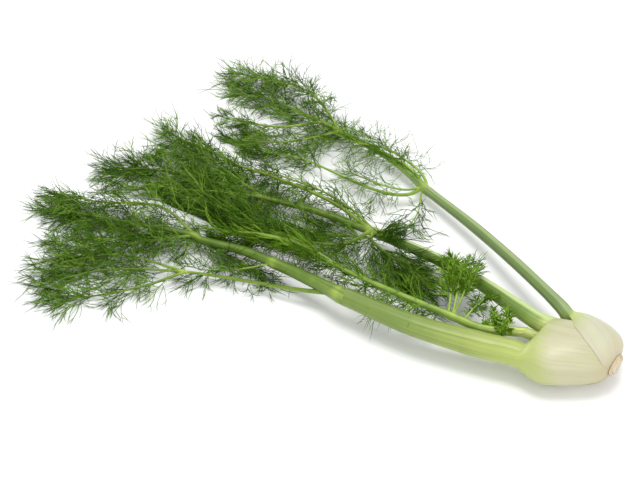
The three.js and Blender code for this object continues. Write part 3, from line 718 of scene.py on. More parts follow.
# ------------------------------------------------------------------ the leaves
@dataclass
class Leaf:
    """One leaf from the root plate to its stalk's first joint: a clasping sheath, then a stalk.

    margins rows are [along the axis, under, over]: how far the sheath wraps, in degrees from its
    thick side. opens is where along the axis the sheath turns into the stalk, and collar where its
    upper margin does. radii rows are [along the axis, across, high]. greening rows are [along the
    axis, how green]. ribless is the sine of the turn at which a sheath's ribs have faded out below,
    and that at which they start to. The band_ fields set a lighter stripe along the stalk's upper
    side, whose turn and width are degrees round it from its thick side: partly the paler skin of the
    stalk's groove, and partly painted highlight where the light from above falls on its top.
    """

    node: str
    layer: int
    side: Side
    opens: Pair
    margins: Rows
    route: Rows
    radii: Rows
    greening: Rows
    finish: LeafFinish
    slot: str
    ribs: int = 30
    rib_height: float = 0.16
    rib_heights: Pair = (0.45, 1.0)
    rib_wander: float = 0.35
    rib_roundness: float = 0.8
    inner_ribs: float = 0.7
    slow_height: float = 0.35
    slow_waves: int = 5
    fade_depth: float = 0.25
    fade_beat: float = 0.11
    ribless: Pair = (-0.98, -0.6)
    # the band_ fields: a lighter stripe on the stalk's upper side, partly the groove's paler skin and partly
    # painted highlight
    band_turn: float = 70.0
    band_width: float = 30.0
    band_strength: float = 0.0
    band_sharpness: int = 6
    band_onset: float = 12.0
    band_streaking: Pair = (0.6, 0.8)
    seed: int = 3
    outer_points: int = 192
    inner_points: int = 48
    root_span: float = 11.0
    root_sections: int = 15
    past_opening: float = 24.0
    least_stalk: float = 6.0
    sheath_step: float = 2.0
    stalk_step: float = 4.5
    stalk_face: float = math.radians(104)
    inner_face: float = 0.9
    collar: Pair | None = None
    collar_shares: Pair = (0.5, 0.8)
    collar_paling: float = 0.2
    inner_lift: float = 0.3
    margin_lift: float = 0.22
    margin_share: float = 0.13
    margin_thinning: float = 0.9
    joint_swell: float = 0.05
    joint_spread: float = 7.0
    crease: float = math.radians(60)
    skin_width: float = 0.2
    streak_widths: Pair = (3.0, 7.0)
    blush_span: float = 16.0
    blush_strength: float = 0.55

    def stations(self) -> Array:
        """Places the sections: close at the root, and wide on a stalk.

        Returns:
            Where each stands along the bulb's axis.
        """
        end = float(np.dot(self.route[-1], AXIS))
        near, sheath = ROOT_U + self.root_span, self.opens[1] + self.past_opening
        if end <= sheath + self.least_stalk:
            return np.linspace(ROOT_U, end, int((end - ROOT_U) / self.sheath_step))
        return np.concatenate([
            np.linspace(ROOT_U, near, self.root_sections)[:-1],
            np.linspace(near, sheath, int((sheath - near) / self.sheath_step))[:-1],
            np.linspace(sheath, end, max(2, int((end - sheath) / self.stalk_step))),
        ])

    def ribbing(self, shares: Array, along: Array) -> Array:
        """The ribs' height at shares across the outer face, for each section along.

        Args:
            shares: From one margin, 0, to the other, 1.
            along: Where each section stands along the axis.

        Returns:
            Heights in millimetres, sections by shares.
        """
        draw = np.random.default_rng(self.seed)
        heights = draw.uniform(*self.rib_heights, self.ribs + 1)
        wander = draw.uniform(-self.rib_wander, self.rib_wander, self.ribs + 1)
        place = shares * self.ribs
        height = np.interp(place, np.arange(self.ribs + 1), heights)
        phase = np.interp(place, np.arange(self.ribs + 1), wander)
        ribs = np.abs(np.cos(np.pi * (place + phase))) ** self.rib_roundness - 0.5
        slow = self.slow_height * np.sin(2 * np.pi * (shares * self.slow_waves + 0.3 * self.seed))
        fade = 1 - self.fade_depth + self.fade_depth * np.sin(along * self.fade_beat + self.seed)[:, None]
        return self.rib_height * (ribs * height + slow)[None, :] * fade

    def oval(self, layer: int, u: Array, turn: Array, lift: Array | float) -> Array:
        """Points on a nested oval.

        Args:
            layer: Which oval.
            u: Places along the axis, one a section.
            turn: The turn of each point round each section, from the leaf's thick side.
            lift: How far the points stand out from the oval.

        Returns:
            Sections by points by 3, in millimetres.
        """
        across, high = self.side.value * np.cos(turn), np.sin(turn)
        back, front, depth = (smooth_table(OVALS[layer], column, u)[:, None] for column in (1, 2, 3))

        def squared(value: Array) -> Array:
            """A circle's share turned into a rounded square's."""
            return np.sign(value) * np.abs(value) ** (2 / SQUARENESS)

        level = np.where(across > 0, back, front) * squared(across)
        raised = depth * squared(high)
        scale = 1 + lift / np.hypot(level, raised)
        level = level * scale + smooth_table(SKEW, 1, u)[:, None]
        upright = np.array([0, 0, AXIS_HEIGHT])
        return (upright + AXIS * u[:, None, None] + BACK * level[..., None]
                + UP * (raised * scale)[..., None])

    def sheath(self, u: Array, outer: Array, inner: Array) -> Array:
        """The sections of the sheath, with margins that thin to an edge.

        Args:
            u: Where they stand along the axis.
            outer: Shares across the outer face.
            inner: Shares back across the lining.

        Returns:
            Sections by points by 3, in millimetres.
        """
        under, over = (np.radians(smooth_table(self.margins, column, u))[:, None] for column in (1, 2))
        turn = -under + (over + under) * outer
        ribbed = smoothstep(np.sin(turn), *self.ribless)
        face = self.oval(self.layer, u, turn, self.ribbing(outer, u) * ribbed)
        if self.layer == len(OVALS) - 1:
            rest = self.oval(self.layer, u, math.pi + under - 2 * under * inner, 0.0)
            return np.concatenate([face, rest], axis=1)
        beneath = self.oval(self.layer + 1, u, turn, self.inner_lift + self.margin_lift)
        edge = np.minimum(outer, 1 - outer)
        thin = (1 - smoothstep(edge, 0, self.margin_share)) * self.margin_thinning
        face = face + (beneath - face) * thin[None, :, None]
        lining = self.oval(self.layer + 1, u, over - (over + under) * inner, self.inner_lift)
        return np.concatenate([face, lining], axis=1)

    def stalk(self, u: Array, outer: Array, inner: Array) -> Array:
        """The round, ribbed sections of the stalk.

        Args:
            u: Where they stand along the axis.
            outer: Shares across the outer face.
            inner: Shares back across the inner face.

        Returns:
            Sections by points by 3, in millimetres.
        """
        points = np.array(self.route, dtype=float)
        places = np.linspace(0, 1, ROUTE_FINENESS * len(points))
        fine = spline(points, places)
        place = np.interp(u, fine @ AXIS, places)
        centre = spline(points, place)
        nudge = 1e-4
        ahead, astern = np.minimum(place + nudge, 1), np.maximum(place - nudge, 0)
        way = unit(spline(points, ahead) - spline(points, astern))
        outward = unit(np.stack([way[:, 1], -way[:, 0], np.zeros(len(u))], axis=1))
        over = np.cross(outward, way)
        behind = self.inner_face * (math.pi - self.stalk_face) / self.stalk_face
        turn = np.concatenate([self.stalk_face * (2 * outer - 1),
                               math.pi - behind * self.stalk_face * (1 - 2 * inner)])
        ribs = [self.ribbing(outer, u), self.ribbing(inner[::-1], u) * self.inner_ribs]
        ribs = np.concatenate(ribs, axis=1)
        swell = 1 + self.joint_swell * np.exp(-(((u[-1] - u) / self.joint_spread) ** 2))
        across = straight_table(self.radii, 1, u) * swell
        high = straight_table(self.radii, 2, u) * swell
        return (centre[:, None]
                + outward[:, None] * (self.side.value * (across[:, None] + ribs) * np.cos(turn))[..., None]
                + over[:, None] * ((high[:, None] + ribs) * np.sin(turn))[..., None])

    def lateness(self) -> Array:
        """How much each point round a section belongs to the collar, from 0 to 1."""
        shares = np.concatenate([np.linspace(0, 1, self.outer_points), np.linspace(1, 0, self.inner_points)])
        return smoothstep(shares, *self.collar_shares) if self.collar else np.zeros(len(shares))

    def opening(self, u: Array) -> Array:
        """How far each point of each section has turned from sheath to stalk, from 0 to 1.

        Args:
            u: Where the sections stand along the axis.

        Returns:
            Sections by points.
        """
        late = self.lateness()
        pairs = zip(self.opens, self.collar or self.opens)
        starts, ends = (early + (later - early) * late for early, later in pairs)
        return smoothstep(u[:, None], starts[None], ends[None])

    def build(self) -> list[bpy.types.Object]:
        """Wraps a grid round the sections, closes it and dresses it.

        Returns:
            The leaf as one piece.
        """
        u = self.stations()
        outer = np.linspace(0, 1, self.outer_points)
        inner = np.linspace(0, 1, self.inner_points)
        blend = self.opening(u)[..., None]
        rings = self.sheath(u, outer, inner) * (1 - blend) + self.stalk(u, outer, inner) * blend
        rings[..., 2] = np.maximum(rings[..., 2], 0.0)
        count = rings.shape[1]
        deselect_all()
        bpy.ops.mesh.primitive_grid_add(x_subdivisions=count, y_subdivisions=len(u) - 1, size=1)
        piece = bpy.context.object
        mesh = piece.data
        spots = points_of(mesh) + 0.5
        column = np.rint(spots[:, 0] * count).astype(int)
        row = np.rint(spots[:, 1] * (len(u) - 1)).astype(int)
        around = column % count
        if self.side is Side.BACK:
            around = (count - column) % count
        move_points(mesh, rings[row, around])
        self.mark_skin(mesh, rings, u, row, column, around)
        bpy.ops.object.mode_set(mode="EDIT")
        bpy.ops.mesh.select_all(action="SELECT")
        bpy.ops.mesh.remove_doubles(threshold=1e-6)
        bpy.ops.mesh.select_all(action="SELECT")
        bpy.ops.mesh.region_to_loop()
        bpy.ops.mesh.edge_face_add()
        bpy.ops.mesh.quads_convert_to_tris(ngon_method="BEAUTY")
        face_outwards(self.crease)
        return [dress(piece, f"{self.node}_skin", self.finish.make(), self.slot, self.node)]

    def mark_skin(self, mesh: bpy.types.Mesh, rings: Array, u: Array, row: Array, column: Array,
                  around: Array) -> None:
        """Writes what the leaf's finish reads.

        Args:
            mesh: The leaf's grid.
            rings: Its sections, in millimetres.
            u: Where the sections stand along the axis.
            row: Each point's section.
            column: Each point's place across the grid.
            around: Each point's place round its section.
        """
        middle = rings[:, self.outer_points // 2]
        along = np.concatenate([[0.0], np.cumsum(np.linalg.norm(np.diff(middle, axis=0), axis=1))]) * MM
        uv = np.stack([self.skin_width * column / rings.shape[1], along[row]], axis=1)
        layer = mesh.uv_layers[0]
        layer.name = "skin"
        corners = np.empty(len(mesh.loops), dtype=np.int32)
        mesh.loops.foreach_get("vertex_index", corners)
        layer.data.foreach_set("uv", uv[corners].astype(np.float32).ravel())
        paling = self.collar_paling * (self.lateness()[None] * (1 - self.opening(u)))[row, around]
        mark(mesh, "green", np.clip(straight_table(self.greening, 1, u)[row] - paling, 0, 1))
        # the lighter stripe on the stalk's upper side: partly the groove's paler skin, partly painted
        # highlight
        face = np.clip(around / (self.outer_points - 1), 0, 1)
        turn = np.degrees(self.stalk_face) * (2 * face - 1)
        off = (turn - self.band_turn) / self.band_width
        groove_and_highlight = np.exp(-(off**self.band_sharpness)) * self.band_strength
        onset = smoothstep(u, self.opens[0], self.opens[1] + self.band_onset)
        groove_and_highlight = groove_and_highlight * onset[row] * (around < self.outer_points)
        draw = np.random.default_rng(self.seed + 50)
        streak = 0.5 * sum(streaks(draw, len(u), rings.shape[1], width)[row, around]
                           for width in self.streak_widths)
        mark(mesh, "streak", streak)
        plain, streaked = self.band_streaking
        mark(mesh, "groove_and_highlight", np.clip(groove_and_highlight * (plain + streaked * streak), 0, 1))
        blush = 1 - smoothstep(u, ROOT_U, ROOT_U + self.blush_span)
        mark(mesh, "blush", blush[row] * self.blush_strength)


# ------------------------------------------------------------------ the root plate
@dataclass
class RootPlate:
    """The trimmed stub of stem at the bulb's root end, with the stumps of its cut roots.

    steps rows are [how far the cut's face is inset, how far the inset face is pushed in], from the
    rim to the middle. waves are the counts round the rim of the wrinkles in the cut. squeezes rows
    are [count round the rim, share of the radius, phase].
    """

    node: str = "root_plate"
    slot: str = "root"
    reach: float = 12.5
    height: float = 8.8
    depth: float = 3.5
    rim: float = 1.6
    gap: float = 0.35
    sides: int = 64
    steps: Rows = ((1.4, -0.3), (0.9, -0.7), (1.6, -0.35), (0.8, 0.35), (1.9, -0.4), (0.9, 0.25),
                   (2.2, -0.3), (1.6, 0.5), (1.5, 0.35))
    waves: tuple[int, ...] = (5, 9, 14, 21, 31)
    wave_heights: Pair = (0.05, 0.16)
    wave_twist: float = 0.5
    smooth_middle: float = 6.0
    squeezes: Rows = ((11, 0.012, 0.0), (23, 0.01, 1.0))
    slimming: float = 0.985
    least_thickness: float = 0.1
    crease: float = math.radians(40)
    ring_strength: float = 0.85
    stumps: int = 26
    stump_sides: int = 10
    stump_length: float = 2.2
    stump_radii: Pair = (0.45, 0.85)
    stump_flare: float = 1.3
    stump_inner: float = 0.45
    stump_spread: float = 0.42
    stump_tilt: float = 0.3
    stump_browning: Pair = (0.55, 1.0)
    seed: int = 5

    def seat(self) -> Matrix:
        """From the stub's own frame, with its cut end along -Z, to its place on the bulb."""
        foot = (np.array([0, 0, AXIS_HEIGHT]) + AXIS * (ROOT_U - self.gap) + BACK * SKEW[0][1]) * MM
        return Matrix.Translation(Vector(foot)) @ Matrix((BACK, UP, AXIS)).transposed().to_4x4()

    def stub(self) -> bpy.types.Object:
        """Steps a round stub by insets, and pushes them in towards the middle of its cut.

        Returns:
            The stub, in its own frame.
        """
        deselect_all()
        bpy.ops.mesh.primitive_cylinder_add(vertices=self.sides, radius=self.reach * MM, depth=self.rim * MM,
                                            location=(0, 0, -self.rim / 2 * MM))
        piece = bpy.context.object
        bpy.ops.object.mode_set(mode="EDIT")
        bpy.ops.mesh.select_mode(type="FACE")
        bpy.ops.mesh.select_all(action="DESELECT")
        bpy.ops.object.mode_set(mode="OBJECT")
        for face in piece.data.polygons:
            face.select = face.normal.z < -0.5
        bpy.ops.object.mode_set(mode="EDIT")
        for inset, push in self.steps:
            bpy.ops.mesh.inset(thickness=inset * MM, depth=0)
            bpy.ops.transform.translate(value=(0, 0, push * MM))
        bpy.ops.mesh.poke()
        bpy.ops.mesh.select_all(action="SELECT")
        bpy.ops.mesh.subdivide(number_cuts=1)
        bpy.ops.object.mode_set(mode="OBJECT")
        bpy.ops.object.transform_apply(location=True, rotation=True, scale=True)
        return piece

    def roughened(self, piece: bpy.types.Object) -> None:
        """Wrinkles the cut, makes the stub oval, and marks its rings.

        Args:
            piece: The round stub, in its own frame.
        """
        mesh = piece.data
        spots = points_of(mesh) / MM
        radius = np.hypot(spots[:, 0], spots[:, 1])
        angle = np.arctan2(spots[:, 1], spots[:, 0])
        draw = np.random.default_rng(self.seed)
        wrinkle = sum(draw.uniform(*self.wave_heights)
                      * np.sin(count * angle + draw.uniform(0, 6) + self.wave_twist * radius)
                      for count in self.waves)
        spots[:, 2] += wrinkle * np.clip(radius / self.smooth_middle, 0, 1) * (spots[:, 2] < -0.5)
        squeeze = sum((share * np.sin(count * angle + phase) for count, share, phase in self.squeezes), 1.0)
        spots[:, 0] *= squeeze * self.slimming
        spots[:, 1] *= squeeze * self.slimming * self.height / self.reach
        spots[:, 2] = np.clip(spots[:, 2], -self.depth + self.least_thickness, 0)
        move_points(mesh, spots)
        mark(mesh, "ring", np.clip(radius / self.reach, 0, 1) ** 2 * self.ring_strength)

    def rootlets(self) -> list[bpy.types.Object]:
        """Sets short stumps of the cut roots in a loose ring on the stub.

        Returns:
            The stumps, in the stub's frame.
        """
        draw = np.random.default_rng(self.seed + 1)
        pieces = []
        for stump in range(self.stumps):
            turn = stump * GOLDEN_ANGLE
            share = self.stump_inner + self.stump_spread * math.sqrt(draw.uniform())
            thick = draw.uniform(*self.stump_radii)
            across, high = self.reach * share * math.cos(turn), self.height * share * math.sin(turn)
            sideways, upwards = draw.uniform(-self.stump_tilt, self.stump_tilt, 2)
            deselect_all()
            bpy.ops.mesh.primitive_cone_add(
                vertices=self.stump_sides, radius1=thick * self.stump_flare * MM, radius2=thick * MM,
                depth=self.stump_length * MM, location=(across * MM, high * MM, -self.stump_length * MM),
                rotation=(math.pi + sideways, upwards, 0))
            piece = bpy.context.object
            bpy.ops.object.transform_apply(location=True, rotation=True, scale=True)
            mark(piece.data, "ring", np.full(len(piece.data.vertices), draw.uniform(*self.stump_browning)))
            pieces.append(piece)
        return pieces

    def build(self) -> list[bpy.types.Object]:
        """Joins the stub and its stumps, seats them and dresses them.

        Returns:
            The root plate as one piece.
        """
        stub = self.stub()
        self.roughened(stub)
        rootlets = self.rootlets()
        deselect_all()
        for piece in (*rootlets, stub):
            piece.select_set(True)
        bpy.context.view_layer.objects.active = stub
        bpy.ops.object.join()
        stub.data.transform(self.seat())
        face_outwards(self.crease)
        return [dress(stub, "root_plate_cut", ScarFinish().make(), self.slot, self.node)]


# ------------------------------------------------------------------ the fronds
@dataclass(frozen=True)
class Stem:
    """One stem of a frond, from its foot on the stem that it forks from to its tip.

    thick is its radius at both ends, reach the length of its sprays near the foot and at the tip,
    bare how much of it has no sprays, crowd how close its sprays stand, loose how far their threads
    spread and curl near its foot and at its tip, plump how thick the threads are, tone how light,
    and hang how far its sprays turn down, so that the stem shows.
    """

    points: Rows
    thick: Pair
    reach: Pair
    bare: float
    crowd: float = 1.0
    loose: Pair = (0.85, 0.6)
    plump: float = 1.0
    tone: float = 0.4
    hang: float = 0.15


@dataclass(frozen=True)
class Fork:
    """How one order of threads bears the next, whose full length is in millimetres.

    A range is what a random number is drawn from. A field that ends in _eased is a share on the
    tightest threads, and what is added to it on the loosest. tone_turn is how far a thread's own
    tone rolls those on it, and outward how far the reach of those at its tip is towards 1.
    """

    parent_knots: int
    joints: tuple[int, ...]
    per_joint: int
    lean: float
    length: float
    taper: float
    sweep: float
    sway: float
    curl: float = 0.2
    twist: float = 1.9
    flatness: float = 0.55
    droop: float = 0.04
    fullness: float = 1.0
    roll_spread: float = 0.6
    tone_turn: float = 9.0
    tone_spread: float = 0.26
    lean_range: Pair = (0.5, 1.45)
    length_range: Pair = (0.6, 1.3)
    beat_range: Pair = (3.0, 7.0)
    lean_eased: Pair = (0.42, 0.95)
    length_eased: Pair = (1.2, -0.15)
    sweep_eased: Pair = (1.0, -0.7)
    curl_eased: Pair = (0.2, 1.0)
    sway_eased: Pair = (0.6, 0.4)
    fullness_eased: Pair = (1.0, -0.42)
    outward: float = 0.5


PINNULES = Fork(parent_knots=7, joints=(1, 2, 3, 4, 5), per_joint=2, lean=math.radians(40), length=30.0,
                taper=0.35, sweep=0.34, sway=0.16, fullness=0.72)
THREADS = Fork(parent_knots=6, joints=(1, 2, 3), per_joint=2, lean=math.radians(31), length=30.0,
               taper=0.3, sweep=0.2, sway=0.24, fullness=0.62)
TIPS = Fork(parent_knots=6, joints=(2, 3), per_joint=1, lean=math.radians(27), length=20.0,
            taper=0.2, sweep=0.12, sway=0.28, fullness=0.7)
TIP_KNOTS = 4


@dataclass
class Twigs:
    """A family of wavy threads, one a row, all of the same order of branching.

    way is each one's first direction, curl where it bends to, sway and beat its waves, loose how far
    it spreads, scale the share of full length that its own threads have, and reach how near its foot
    is to the frond's outside.
    """

    foot: Array
    way: Array
    length: Array
    curl: Array
    sway: Array
    beat: Array
    loose: Array
    scale: Array
    tone: Array
    reach: Array

    def points(self, knots: int) -> Array:
        """Each thread's path as a row of points.

        Args:
            knots: How many points a row has.

        Returns:
            Threads by points by 3, in millimetres.
        """
        share = np.linspace(0, 1, knots)[None, :, None]
        waves, phase = self.beat[:, 0, None, None], self.beat[:, 1, None, None]
        swing = (np.cos(phase) - np.cos(waves * share + phase)) / waves
        path = self.way[:, None] * share + self.curl[:, None] * share**2 + self.sway[:, None] * swing
        return self.foot[:, None] + self.length[:, None, None] * path

    def ways(self, share: float) -> Array:
        """Each thread's direction at a share of its length."""
        swing = np.sin(self.beat[:, :1] * share + self.beat[:, 1:])
        return unit(self.way + 2 * share * self.curl + self.sway * swing)

    def eased(self, shares: Pair) -> Array:
        """The share of each thread, from the tightest one's and what looseness adds to it."""
        return shares[0] + shares[1] * self.loose

    def forked(self, draw: np.random.Generator, habit: Fork) -> "Twigs":
        """The threads that these bear.

        Args:
            draw: Where random numbers come from.
            habit: How they branch.

        Returns:
            The next order of threads.
        """
        rows = []
        knots = self.points(habit.parent_knots)
        count = len(self.length)
        for joint, twin in product(habit.joints, range(habit.per_joint)):
            share = joint / (habit.parent_knots - 1)
            roll = math.pi * (twin + joint) + joint * habit.twist + draw.normal(0, habit.roll_spread, count)
            roll = roll + self.tone * habit.tone_turn
            lean = habit.lean * self.eased(habit.lean_eased) * draw.uniform(*habit.lean_range, count)
            along = self.ways(share)
            way = leaning(along, lean, roll, habit.flatness)
            length = habit.length * (1 - habit.taper * share) * draw.uniform(*habit.length_range, count)
            length = length * self.scale * self.eased(habit.length_eased)
            curl = along * habit.sweep * self.eased(habit.sweep_eased)[:, None] - UP * habit.droop
            curl = curl + draw.normal(0, habit.curl, (count, 3)) * self.eased(habit.curl_eased)[:, None]
            sway = draw.normal(0, habit.sway, (count, 3)) * self.eased(habit.sway_eased)[:, None]
            beat = wave_beat(draw, habit.beat_range, count)
            tone = np.clip(self.tone + draw.normal(0, habit.tone_spread, count), 0, 1)
            reach = self.reach + (1 - self.reach) * habit.outward * share
            kept = draw.uniform(0, 1, count) < habit.fullness * self.eased(habit.fullness_eased)
            twigs = (knots[:, joint], way, length, curl, sway, beat, self.loose, self.scale, tone, reach)
            rows.append([part[kept] for part in twigs])
        return Twigs(*(np.concatenate(parts) for parts in zip(*rows)))


def wave_beat(draw: np.random.Generator, waves: Pair, count: int) -> Array:
    """How fast each of a count of threads waves, drawn from a range, and where in its wave it starts."""
    return np.stack([draw.uniform(*waves, count), draw.uniform(0, ANY_PHASE, count)], axis=1)


@dataclass
class Frond:
    """The feathery part of a leaf: its stems, and the forked threads that they bear.

    A spray is what grows from one place on a stem: a first thread and the three orders that fork
    from it, whose radii at the foot are in radii. The threads of a spray whose reach is full_reach
    have their full length. The _range and _spread fields are what random numbers are drawn from.
    """

    node: str
    slot: str
    curtains: tuple[tuple[str, int], ...]
    stems: tuple[Stem, ...]
    seed: int
    stem_finish: StemFinish
    thread_finish: ThreadFinish
    spray_step: float = 7.6
    last_spray: float = 0.995
    full_reach: float = 42.0
    spray_lean: float = math.radians(40)
    lean_range: Pair = (0.6, 1.25)
    lean_taper: float = 0.35
    spray_sweep: float = 0.34
    spray_flatness: float = 0.5
    spray_share: float = 0.72
    size_range: Pair = (0.7, 1.15)
    scale_range: Pair = (0.12, 1.3)
    beat_range: Pair = (2.5, 5.0)
    roll_spread: float = 0.3
    loose_spread: float = 0.15
    tone_spread: float = 0.14
    sway: float = 0.2
    first_reach: float = 0.1
    outward: float = 0.8
    radii: tuple[float, ...] = (0.52, 0.43, 0.37, 0.33)
    tip_radius: float = 0.19
    thread_taper: float = 1.3
    least_sprays: int = 4
    least_knots: int = 12
    stem_step: float = 3.0
    stem_taper: float = 0.8
    stem_tip: float = 0.6
    main_sides: int = 40
    side_sides: int = 14
    streak_width: float = 1.6
    rib_share: float = 0.1
    joint_spread: float = 5.0
    joint_swell: float = 0.1
    joint_paling: float = 0.6
    main_tone: float = 0.35
    side_tone: float = 0.85
    foot_fade: float = 34.0
    root: float = 3.0

    def build(self) -> list[bpy.types.Object]:
        """Dresses the frond's stems as one piece, and each stem's threads as another.

        Returns:
            The pieces, stems first.
        """
        draw = np.random.default_rng(self.seed)
        pieces = [self.build_stems()]
        material = self.thread_finish.make()
        for order, stem in enumerate(self.stems):
            name = f"{self.node}_threads_{order + 1}"
            pieces.append(dress(self.threads(stem, draw), name, material, self.slot, self.node))
        return pieces

    def stem_path(self, stem: Stem) -> tuple[Array, Array]:
        """A stem's fine path, bent clear, and its radius all along.

        Args:
            stem: The stem.

        Returns:
            The points, and the radius at each.
        """
        path = Path(stem.points)
        length = path.length()
        knots = max(self.least_knots, int(length / self.stem_step))
        points = bent_clear(path.at(np.linspace(0, length, knots))[0], self.curtains)
        share = np.linspace(0, 1, knots)
        radii = stem.thick[0] + (stem.thick[1] - stem.thick[0]) * share**self.stem_taper
        radii[-1] = stem.thick[1] * self.stem_tip
        return points, radii

    def rooted(self, points: Array, *others: Array) -> tuple[Array, ...]:
        """The main stem's path with one point more, sunk into the stalk that it grows from."""
        sunk = points[0] - unit(points[1] - points[0]) * self.root
        return (np.vstack([sunk, points]), *(np.append(other[:1], other) for other in others))

    def build_stems(self) -> bpy.types.Object:
        """Makes all of the frond's stems, ribbed, and swollen where others fork from them.

        Returns:
            The stems as one dressed piece.
        """
        strands = Strands()
        draw = np.random.default_rng(self.seed + 1)
        feet = np.array([stem.points[0] for stem in self.stems[1:]], dtype=float).reshape(-1, 3)
        for order, stem in enumerate(self.stems):
            points, radii = self.stem_path(stem)
            start = np.linspace(0, Path(stem.points).length(), len(points))
            near = np.linalg.norm(points[:, None] - feet[None], axis=2).min(axis=1)
            joint = np.exp(-((near / self.joint_spread) ** 2))
            sides = self.side_sides if order else self.main_sides
            streak = streaks(draw, len(points), sides, self.streak_width)
            ridges = 1 + self.rib_share * (streak[0] - 0.5)
            radii = radii * (1 + self.joint_swell * joint)
            if order == 0:
                points, radii, joint, start = self.rooted(points, radii, joint, start)
                streak = np.vstack([streak[:1], streak])
            tone = np.full(1, self.side_tone if order else self.main_tone)
            strands.add(points[None], radii[None], tone, joint[None] * self.joint_paling, sides, ridges)
            foot = np.exp(-((start / self.foot_fade) ** 2)) * (order == 0)
            strands.marks.setdefault("streak", []).append(np.append(streak[:-1].ravel(), 0.5))
            strands.marks.setdefault("foot", []).append(np.append(np.repeat(foot[:-1], sides), 0))
        return dress(strands.build(), f"{self.node}_stems", self.stem_finish.make(), self.slot, self.node)

    def sprays(self, stem: Stem, draw: np.random.Generator) -> Twigs:
        """The first thread of each of a stem's sprays.

        Args:
            stem: The stem that bears them.
            draw: Where random numbers come from.

        Returns:
            The threads, foot to tip.
        """
        path = Path(stem.points)
        feathered = path.length() - stem.bare
        count = max(self.least_sprays, int(feathered * stem.crowd / self.spray_step))
        share = (np.arange(count) + 0.5) / count
        foot, forward = path.at(stem.bare + feathered * share * self.last_spray)
        roll = np.arange(count) * GOLDEN_ANGLE + draw.normal(0, self.roll_spread, count)
        lean = self.spray_lean * draw.uniform(*self.lean_range, count) * (1 - self.lean_taper * share)
        way = unit(leaning(forward, lean, roll, self.spray_flatness) - UP * stem.hang)
        size = (stem.reach[0] + (stem.reach[1] - stem.reach[0]) * share) * self.spray_share
        size = size * draw.uniform(*self.size_range, count)
        sway = draw.normal(0, self.sway, (count, 3))
        beat = wave_beat(draw, self.beat_range, count)
        loose = np.interp(share, (0, 1), stem.loose) + draw.normal(0, self.loose_spread, count)
        tone = np.clip(draw.normal(stem.tone, self.tone_spread, count), 0, 1)
        scale = np.clip(size / self.full_reach / self.spray_share, *self.scale_range)
        return Twigs(foot, way, size, forward * self.spray_sweep, sway, beat, np.clip(loose, 0, 1), scale,
                     tone, np.full(count, self.first_reach))

    def threads(self, stem: Stem, draw: np.random.Generator) -> bpy.types.Object:
        """One stem's sprays of forked threads.

        Args:
            stem: The stem that bears them.
            draw: Where random numbers come from.

        Returns:
            The threads as one object.
        """
        pinnae = self.sprays(stem, draw)
        pinnules = pinnae.forked(draw, PINNULES)
        threads = pinnules.forked(draw, THREADS)
        tips = threads.forked(draw, TIPS)
        strands = Strands()
        orders = ((pinnae, PINNULES.parent_knots), (pinnules, THREADS.parent_knots),
                  (threads, TIPS.parent_knots), (tips, TIP_KNOTS))
        for (twigs, knots), thick in zip(orders, np.array(self.radii) * stem.plump):
            points = bent_clear(twigs.points(knots), self.curtains)
            share = np.linspace(0, 1, knots)[None]
            radii = thick + (self.tip_radius - thick) * share**self.thread_taper
            radii = np.repeat(radii, len(twigs.length), axis=0)
            reach = twigs.reach[:, None] + (1 - twigs.reach[:, None]) * share * self.outward
            strands.add(points, radii, twigs.tone, reach)
        return strands.build()


# ------------------------------------------------------------------ the studio
@dataclass
class Studio:
    """A white floor, soft light from above, a weaker one from the front, and a camera that looks down.

    The lights' places are from the aim. Lengths are in metres, apart from the lens and the sensor,
    which are in millimetres.
    """

    aim: Place = (-0.232, 0.1728, 0.0)
    distance: float = 1.778
    elevation: float = math.radians(45)
    lens: float = 100.0
    sensor: float = 36.0
    floor: float = 8.0
    sky: float = 0.86
    key: float = 19.0
    key_place: Place = (0.1, 0.12, 1.9)
    key_size: float = 0.75
    fill: float = 7.0
    fill_place: Place = (0.25, -1.6, 0.7)
    fill_size: float = 1.0

    def build(self) -> None:
        """Makes the floor, the lights and the camera."""
        deselect_all()
        bpy.ops.mesh.primitive_plane_add(size=self.floor, location=(self.aim[0], self.aim[1], 0))
        floor = bpy.context.object
        bpy.ops.object.transform_apply(location=True)
        floor.name = "studio_floor"
        floor.data.materials.append(FloorFinish().make())
        self.light("key_light", self.key_place, self.key_size, self.key)
        self.light("fill_light", self.fill_place, self.fill_size, self.fill)
        world = bpy.data.worlds.new("studio_air")
        world.use_nodes = True
        air = world.node_tree.nodes["Background"].inputs
        air["Color"].default_value = rgba(WHITE)
        air["Strength"].default_value = self.sky
        bpy.context.scene.world = world
        bpy.context.scene.view_settings.view_transform = "Standard"
        self.camera()

    def camera(self) -> None:
        """The camera, level from side to side and tilted down at the middle of the plant."""
        back, rise = math.cos(self.elevation) * self.distance, math.sin(self.elevation) * self.distance
        place = (self.aim[0], self.aim[1] - back, self.aim[2] + rise)
        bpy.ops.object.camera_add(location=place, rotation=(math.pi / 2 - self.elevation, 0, 0))
        camera = bpy.context.object
        camera.data.lens = self.lens
        camera.data.sensor_width = self.sensor
        bpy.context.scene.camera = camera

    def light(self, name: str, offset: Place, size: float, power: float) -> None:
        """A square soft light that faces the middle of the plant.

        Args:
            name: Its name.
            offset: Its place from the aim.
            size: How long its side is.
            power: Its power in watts.
        """
        place = Vector(self.aim) + Vector(offset)
        turn = (Vector(self.aim) - place).to_track_quat("-Z", "Y").to_euler()
        deselect_all()
        bpy.ops.object.light_add(type="AREA", location=place, rotation=turn)
        lamp = bpy.context.object
        lamp.name = name
        lamp.data.shape = "SQUARE"
        lamp.data.size = size
        lamp.data.energy = power


